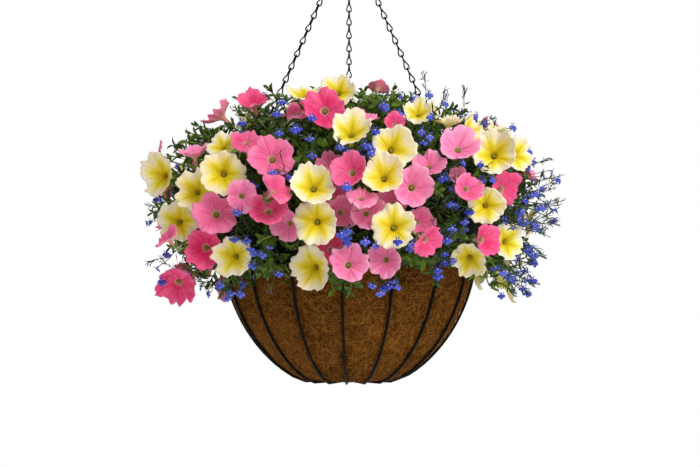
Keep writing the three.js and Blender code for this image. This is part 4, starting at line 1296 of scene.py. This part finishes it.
for across, down in SHOOTS_SEEN:
    grow_shoot(at_pixel(across, down), SEEN_BRIGHT)
for k in range(SHOOTS):
    place = on_shell(MOUND, spot(MOUND, k, SHOOTS, LOWEST_SHOOT), luck.uniform(0.8, 0.94))
    grow_shoot(place + luck.normal(0, 6, 3), luck.uniform(0.1, 0.5))
leaf_blades = many(leaf_mesh, leaves, tone=leaf_tones, place=[leaf_place] * len(leaves))
leaf_piece = new_piece("petunia_leaves", leaf_blades, LEAF_GREEN)
solidified(leaf_piece, SHOOT.thickness)
stem_piece = new_piece("leaf_stems", wires(leaf_stems, SHOOT.wire, 6), STALK_GREEN)
for piece in (leaf_piece, stem_piece):
    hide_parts("foliage")
    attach(piece, "root")

# The lobelia
# Loose sprays of thin dark stems with narrow leaves, buds and small blue flowers. A flower has three broad
# petals below and two slips above, on a short tube. The sprays come out between the petunias, the longest at
# the right.
HIDDEN_SPRAYS = SimpleNamespace(count=130, flowers=4, spread=9.0, leaders=1, lowest=0.5)
SEEN_SPREAD = 6.0
LEADERS_FROM_X = 120.0
DENSE_WITHIN_X = 60.0
FLOWER_SIZE = 0.92
# A petal's row: its turn, length, width and droop
FLOWER_PETALS = (
    (-math.pi / 2, 9.2, 8.2, 1.6), (-math.pi / 2 - 1.0, 8.8, 7.4, 1.8), (-math.pi / 2 + 1.0, 8.8, 7.4, 1.8),
    (2.15, 6.4, 2.6, -1.4), (1.0, 6.4, 2.6, -1.4),
)
SPRAY = SimpleNamespace(wire=0.5, slivers=14, gap=4.0, below_flowers=13.0, tries=20)
FLOWER = SimpleNamespace(step=4.0, steps=7, twig_end=6.5)
LEADER = SimpleNamespace(slivers=8, gap=3.2, buds=3, flower_chance=0.3)
# The pixels of the photograph where lobelia flowers show
FLOWERS_SEEN = (
    (240, 124), (275, 118), (283, 105), (275, 134), (297, 130), (311, 140), (322, 152), (345, 148),
    (337, 162), (350, 180), (352, 187), (370, 143), (363, 152), (372, 155), (360, 163), (385, 103),
    (378, 90), (405, 108), (400, 115), (415, 99), (425, 118), (413, 140), (425, 135), (436, 122),
    (430, 92), (443, 105), (470, 115), (468, 120), (485, 122), (490, 132), (498, 130), (485, 165),
    (483, 175), (445, 173), (458, 185), (462, 194), (440, 205), (452, 202), (445, 212), (470, 222),
    (460, 222), (450, 228), (437, 228), (443, 237), (443, 255), (448, 265), (434, 275), (535, 165),
    (548, 180), (545, 190), (527, 197), (535, 190), (520, 212), (546, 207), (555, 205), (561, 222),
    (550, 225), (522, 224), (535, 225), (537, 232), (510, 215), (503, 222), (528, 250), (538, 248),
    (533, 255), (525, 263), (530, 270), (518, 272), (517, 280), (503, 286), (523, 290), (495, 268),
    (163, 260), (168, 272), (207, 287), (227, 288), (238, 292), (258, 247), (258, 258), (257, 265),
    (272, 275), (233, 229), (240, 217), (347, 228), (348, 245), (352, 252), (370, 246), (391, 243),
    (397, 247), (415, 244), (389, 283), (400, 286), (248, 178), (290, 173), (277, 168), (283, 173),
)


def lens_shape(corners, outline, thickness):
    """A thin closed body with corners round its edge, placed by outline(x, y) from a circle of radius 1"""
    shape = bmesh.new()
    bmesh.ops.create_uvsphere(shape, u_segments=corners, v_segments=2, radius=1)
    for vert in shape.verts:
        pole = abs(vert.co.z) > 0.5
        x, y = outline(0.0, 0.0) if pole else outline(vert.co.x, vert.co.y)
        vert.co = (x, y, vert.co.z * thickness / 2)
    return shape


def petal_lens(turn, length, width, droop):
    """A petal of a lobelia flower: it starts in the flower's throat and widens outwards at angle turn"""
    def outline(x, y):
        return length * (0.5 + 0.5 * x), y * width / 2 * (0.75 + 0.35 * x)

    shape = lens_shape(7 if width > 3 else 4, outline, 0.5)
    for vert in shape.verts:
        vert.co.z -= droop * (vert.co.x / length) ** 2
    bmesh.ops.rotate(shape, cent=(0, 0, 0), matrix=Matrix.Rotation(turn, 3, "Z"), verts=shape.verts)
    return made_mesh(shape)


def flower_mesh():
    tube = bmesh.new()
    bmesh.ops.create_cone(tube, cap_ends=True, segments=5, radius1=0.6, radius2=1.5, depth=7)
    bmesh.ops.translate(tube, vec=(0, 0, -3.2), verts=tube.verts)
    return joined([petal_lens(*petal) for petal in FLOWER_PETALS] + [made_mesh(tube)])


def blue_finish():
    finish = new_finish("lobelia_petal", 0.5, {"Specular IOR Level": 0.25, "Sheen Weight": 0.05})
    across, up, out = split(drawn(finish, "place", "Vector"))
    from_eye = worked("SQRT", worked("ADD", times(across, across), times(up, up)))
    blue = blended(drawn(finish, "tone"), colour(64, 78, 222), colour(118, 136, 255))
    base = blended(between(from_eye, 2.0, 7.0), blended(0.5, blue, colour(40, 40, 150)), blue)
    base = blended(between(from_eye, 1.3, 0.7), base, colour(214, 214, 248))
    base = blended(between(out, -1.4, -3.0), base, colour(52, 44, 120))
    return finished(finish, base, speckle(seen_at(finish), 900.0), 0.2, 0.0004)


def turned_to(at, facing, size, points):
    """A flower's points put at a place: its face along facing, its broad petals downwards"""
    side = unit(np.cross([0, 0, 1], facing))
    return at + points @ np.array([side, np.cross(facing, side), facing]) * size


flower = flower_mesh()
flower_shape = points_of(flower)
sliver_mesh = made_mesh(lens_shape(4, lambda x, y: (0.5 + 0.5 * x, y * 0.5), 0.09))
sliver_shape = points_of(sliver_mesh)
sliver_shape[:, 0] += 0.02
bud = bmesh.new()
bmesh.ops.create_uvsphere(bud, u_segments=5, v_segments=4, radius=1)
bud_mesh = made_mesh(bud)
bud_shape = points_of(bud_mesh)[:, [2, 1, 0]] * [1, 0.32, 0.32] + [1, 0, 0]
flowers, flower_tones, slivers, sliver_tones, buds, stems, twigs = [], [], [], [], [], [], []


def grow_sliver(base, axis, length):
    """A narrow lobelia leaf that starts at base and leans away from axis"""
    along = unit(axis * luck.uniform(0.2, 1) + luck.normal(0, 0.6, 3))
    side = unit(np.cross(along, luck.normal(0, 1, 3)))
    axes = np.array([along, side * luck.uniform(0.11, 0.22), np.cross(along, side)])
    points = base + sliver_shape @ axes * length
    if is_clear(points, clearance=0.4, face_share=0.6):
        slivers.append(points)
        sliver_tones.append(luck.uniform(0, 1))


def grow_bud(leader, end, heading):
    along = unit(heading + luck.normal(0, 0.5, 3))
    place = end + luck.normal(0, 2.5, 3)
    side = unit(np.cross(along, [0, 0.2, 1]))
    points = place + bud_shape @ np.array([along, side, np.cross(along, side)]) * luck.uniform(1.4, 2.8)
    if is_clear(points, clearance=0.4, face_share=0.35):
        buds.append(points)
        twigs.append(bent(leader[-3], place, luck.normal(0, 1, 3), 3))


def open_flower(tip, centre, outward):
    """A flower on its twig from tip, moved outwards until it is clear"""
    facing = unit(outward + luck.normal(0, 0.38, 3) + np.array([0, 0, -0.1]))
    size = FLOWER_SIZE * luck.uniform(0.88, 1.08)
    for _ in range(FLOWER.steps):
        points = turned_to(centre, facing, size, flower_shape)
        if is_clear(points, clearance=0.6, face_share=0.5):
            flowers.append(points)
            flower_tones.append(luck.uniform(0, 1))
            twigs.append(bent(tip, centre - facing * FLOWER.twig_end, -outward * 3, 5))
            return
        centre = centre + outward * FLOWER.step


def grow_leader(tip, outward):
    """A shoot that goes on past the spray's flowers, with narrow leaves, buds and now and then a flower"""
    heading = unit(outward + luck.normal(0, 0.5, 3) + np.array([0, 0, 0.12]))
    end = tip + heading * luck.uniform(16, 40)
    leader = bent(tip, end, luck.normal(0, 3, 3), 7)
    if not is_clear(leader[2:], clearance=0.5, face_share=0.35):
        return
    twigs.append(leader)
    if luck.random() < LEADER.flower_chance:
        open_flower(leader[-2], end + heading * 5, heading)
    for k in range(LEADER.slivers):
        grow_sliver(point_along(leader[::-1], 2 + k * LEADER.gap), heading, luck.uniform(5, 11))
    for _ in range(LEADER.buds):
        grow_bud(leader, end, heading)


def grow_spray(at, outward, flower_count, spread, leader_count):
    """A spray whose flowers open round a place: a stem from the core, with twigs, leaves and buds"""
    tip = at - outward * SPRAY.below_flowers
    for _ in range(SPRAY.tries):
        root = root_for(tip + luck.normal(0, 26, 3))
        stem = bent(root, tip, luck.normal(0, 8, 3), 10)
        if is_clear(stem[2:], clearance=0.6, face_share=0):
            break
    stems.append(stem)
    for _ in range(flower_count):
        open_flower(tip, at + luck.normal(0, spread, 3), outward)
    for k in range(SPRAY.slivers):
        grow_sliver(point_along(stem[::-1], k * SPRAY.gap), unit(stem[-1] - stem[-3]), luck.uniform(9, 19))
    for _ in range(leader_count):
        grow_leader(tip, outward)


for across, down in FLOWERS_SEEN:
    at = at_pixel(across, down)
    leader_count = 2 if at[0] > LEADERS_FROM_X else 1
    flower_count = luck.integers(2, 4) if abs(at[0]) < DENSE_WITHIN_X else luck.integers(1, 3)
    grow_spray(at, unit(outwards_at(at) + FORWARD / 2), flower_count, SEEN_SPREAD, leader_count)
rule = HIDDEN_SPRAYS
for k in range(rule.count):
    at = on_shell(HIDDEN_MOUND, spot(HIDDEN_MOUND, k, rule.count, rule.lowest), luck.uniform(0.96, 1.03))
    if at[1] > HIDDEN.from_y:
        grow_spray(at, outwards_at(at), rule.flowers, rule.spread, rule.leaders)
spray_flowers = many(flower, flowers, tone=flower_tones, place=[flower_shape] * len(flowers))
blue_piece = new_piece("lobelia_flowers", spray_flowers, blue_finish())
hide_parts(*(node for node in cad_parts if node.startswith("blue_lobelia")))
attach(blue_piece, "root")

SPRAY_GREEN = green_finish("spray_green", colour(20, 34, 14), colour(64, 94, 32), colour(88, 114, 50))
BUD_BLUE = green_finish("bud", colour(44, 36, 70), colour(66, 64, 140), colour(90, 96, 150))
sliver_place = np.c_[sliver_shape[:, 0], sliver_shape[:, 1] * 2, np.zeros(len(sliver_shape))]
bud_place = np.zeros((len(bud_shape), 3))
spray_leaves = many(sliver_mesh, slivers, tone=sliver_tones, place=[sliver_place] * len(slivers))
spray_buds = many(bud_mesh, buds, tone=[luck.random() for _ in buds], place=[bud_place] * len(buds))
spray_stems = joined([wires(stems, SPRAY.wire * 1.3, 4), wires(twigs, SPRAY.wire, 4)])
for name, mesh, finish in (
    ("lobelia_leaves", spray_leaves, SPRAY_GREEN),
    ("lobelia_buds", spray_buds, BUD_BLUE),
    ("lobelia_stems", spray_stems, SPRAY_GREEN),
):
    piece = new_piece(name, mesh, finish)
    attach(piece, "root")
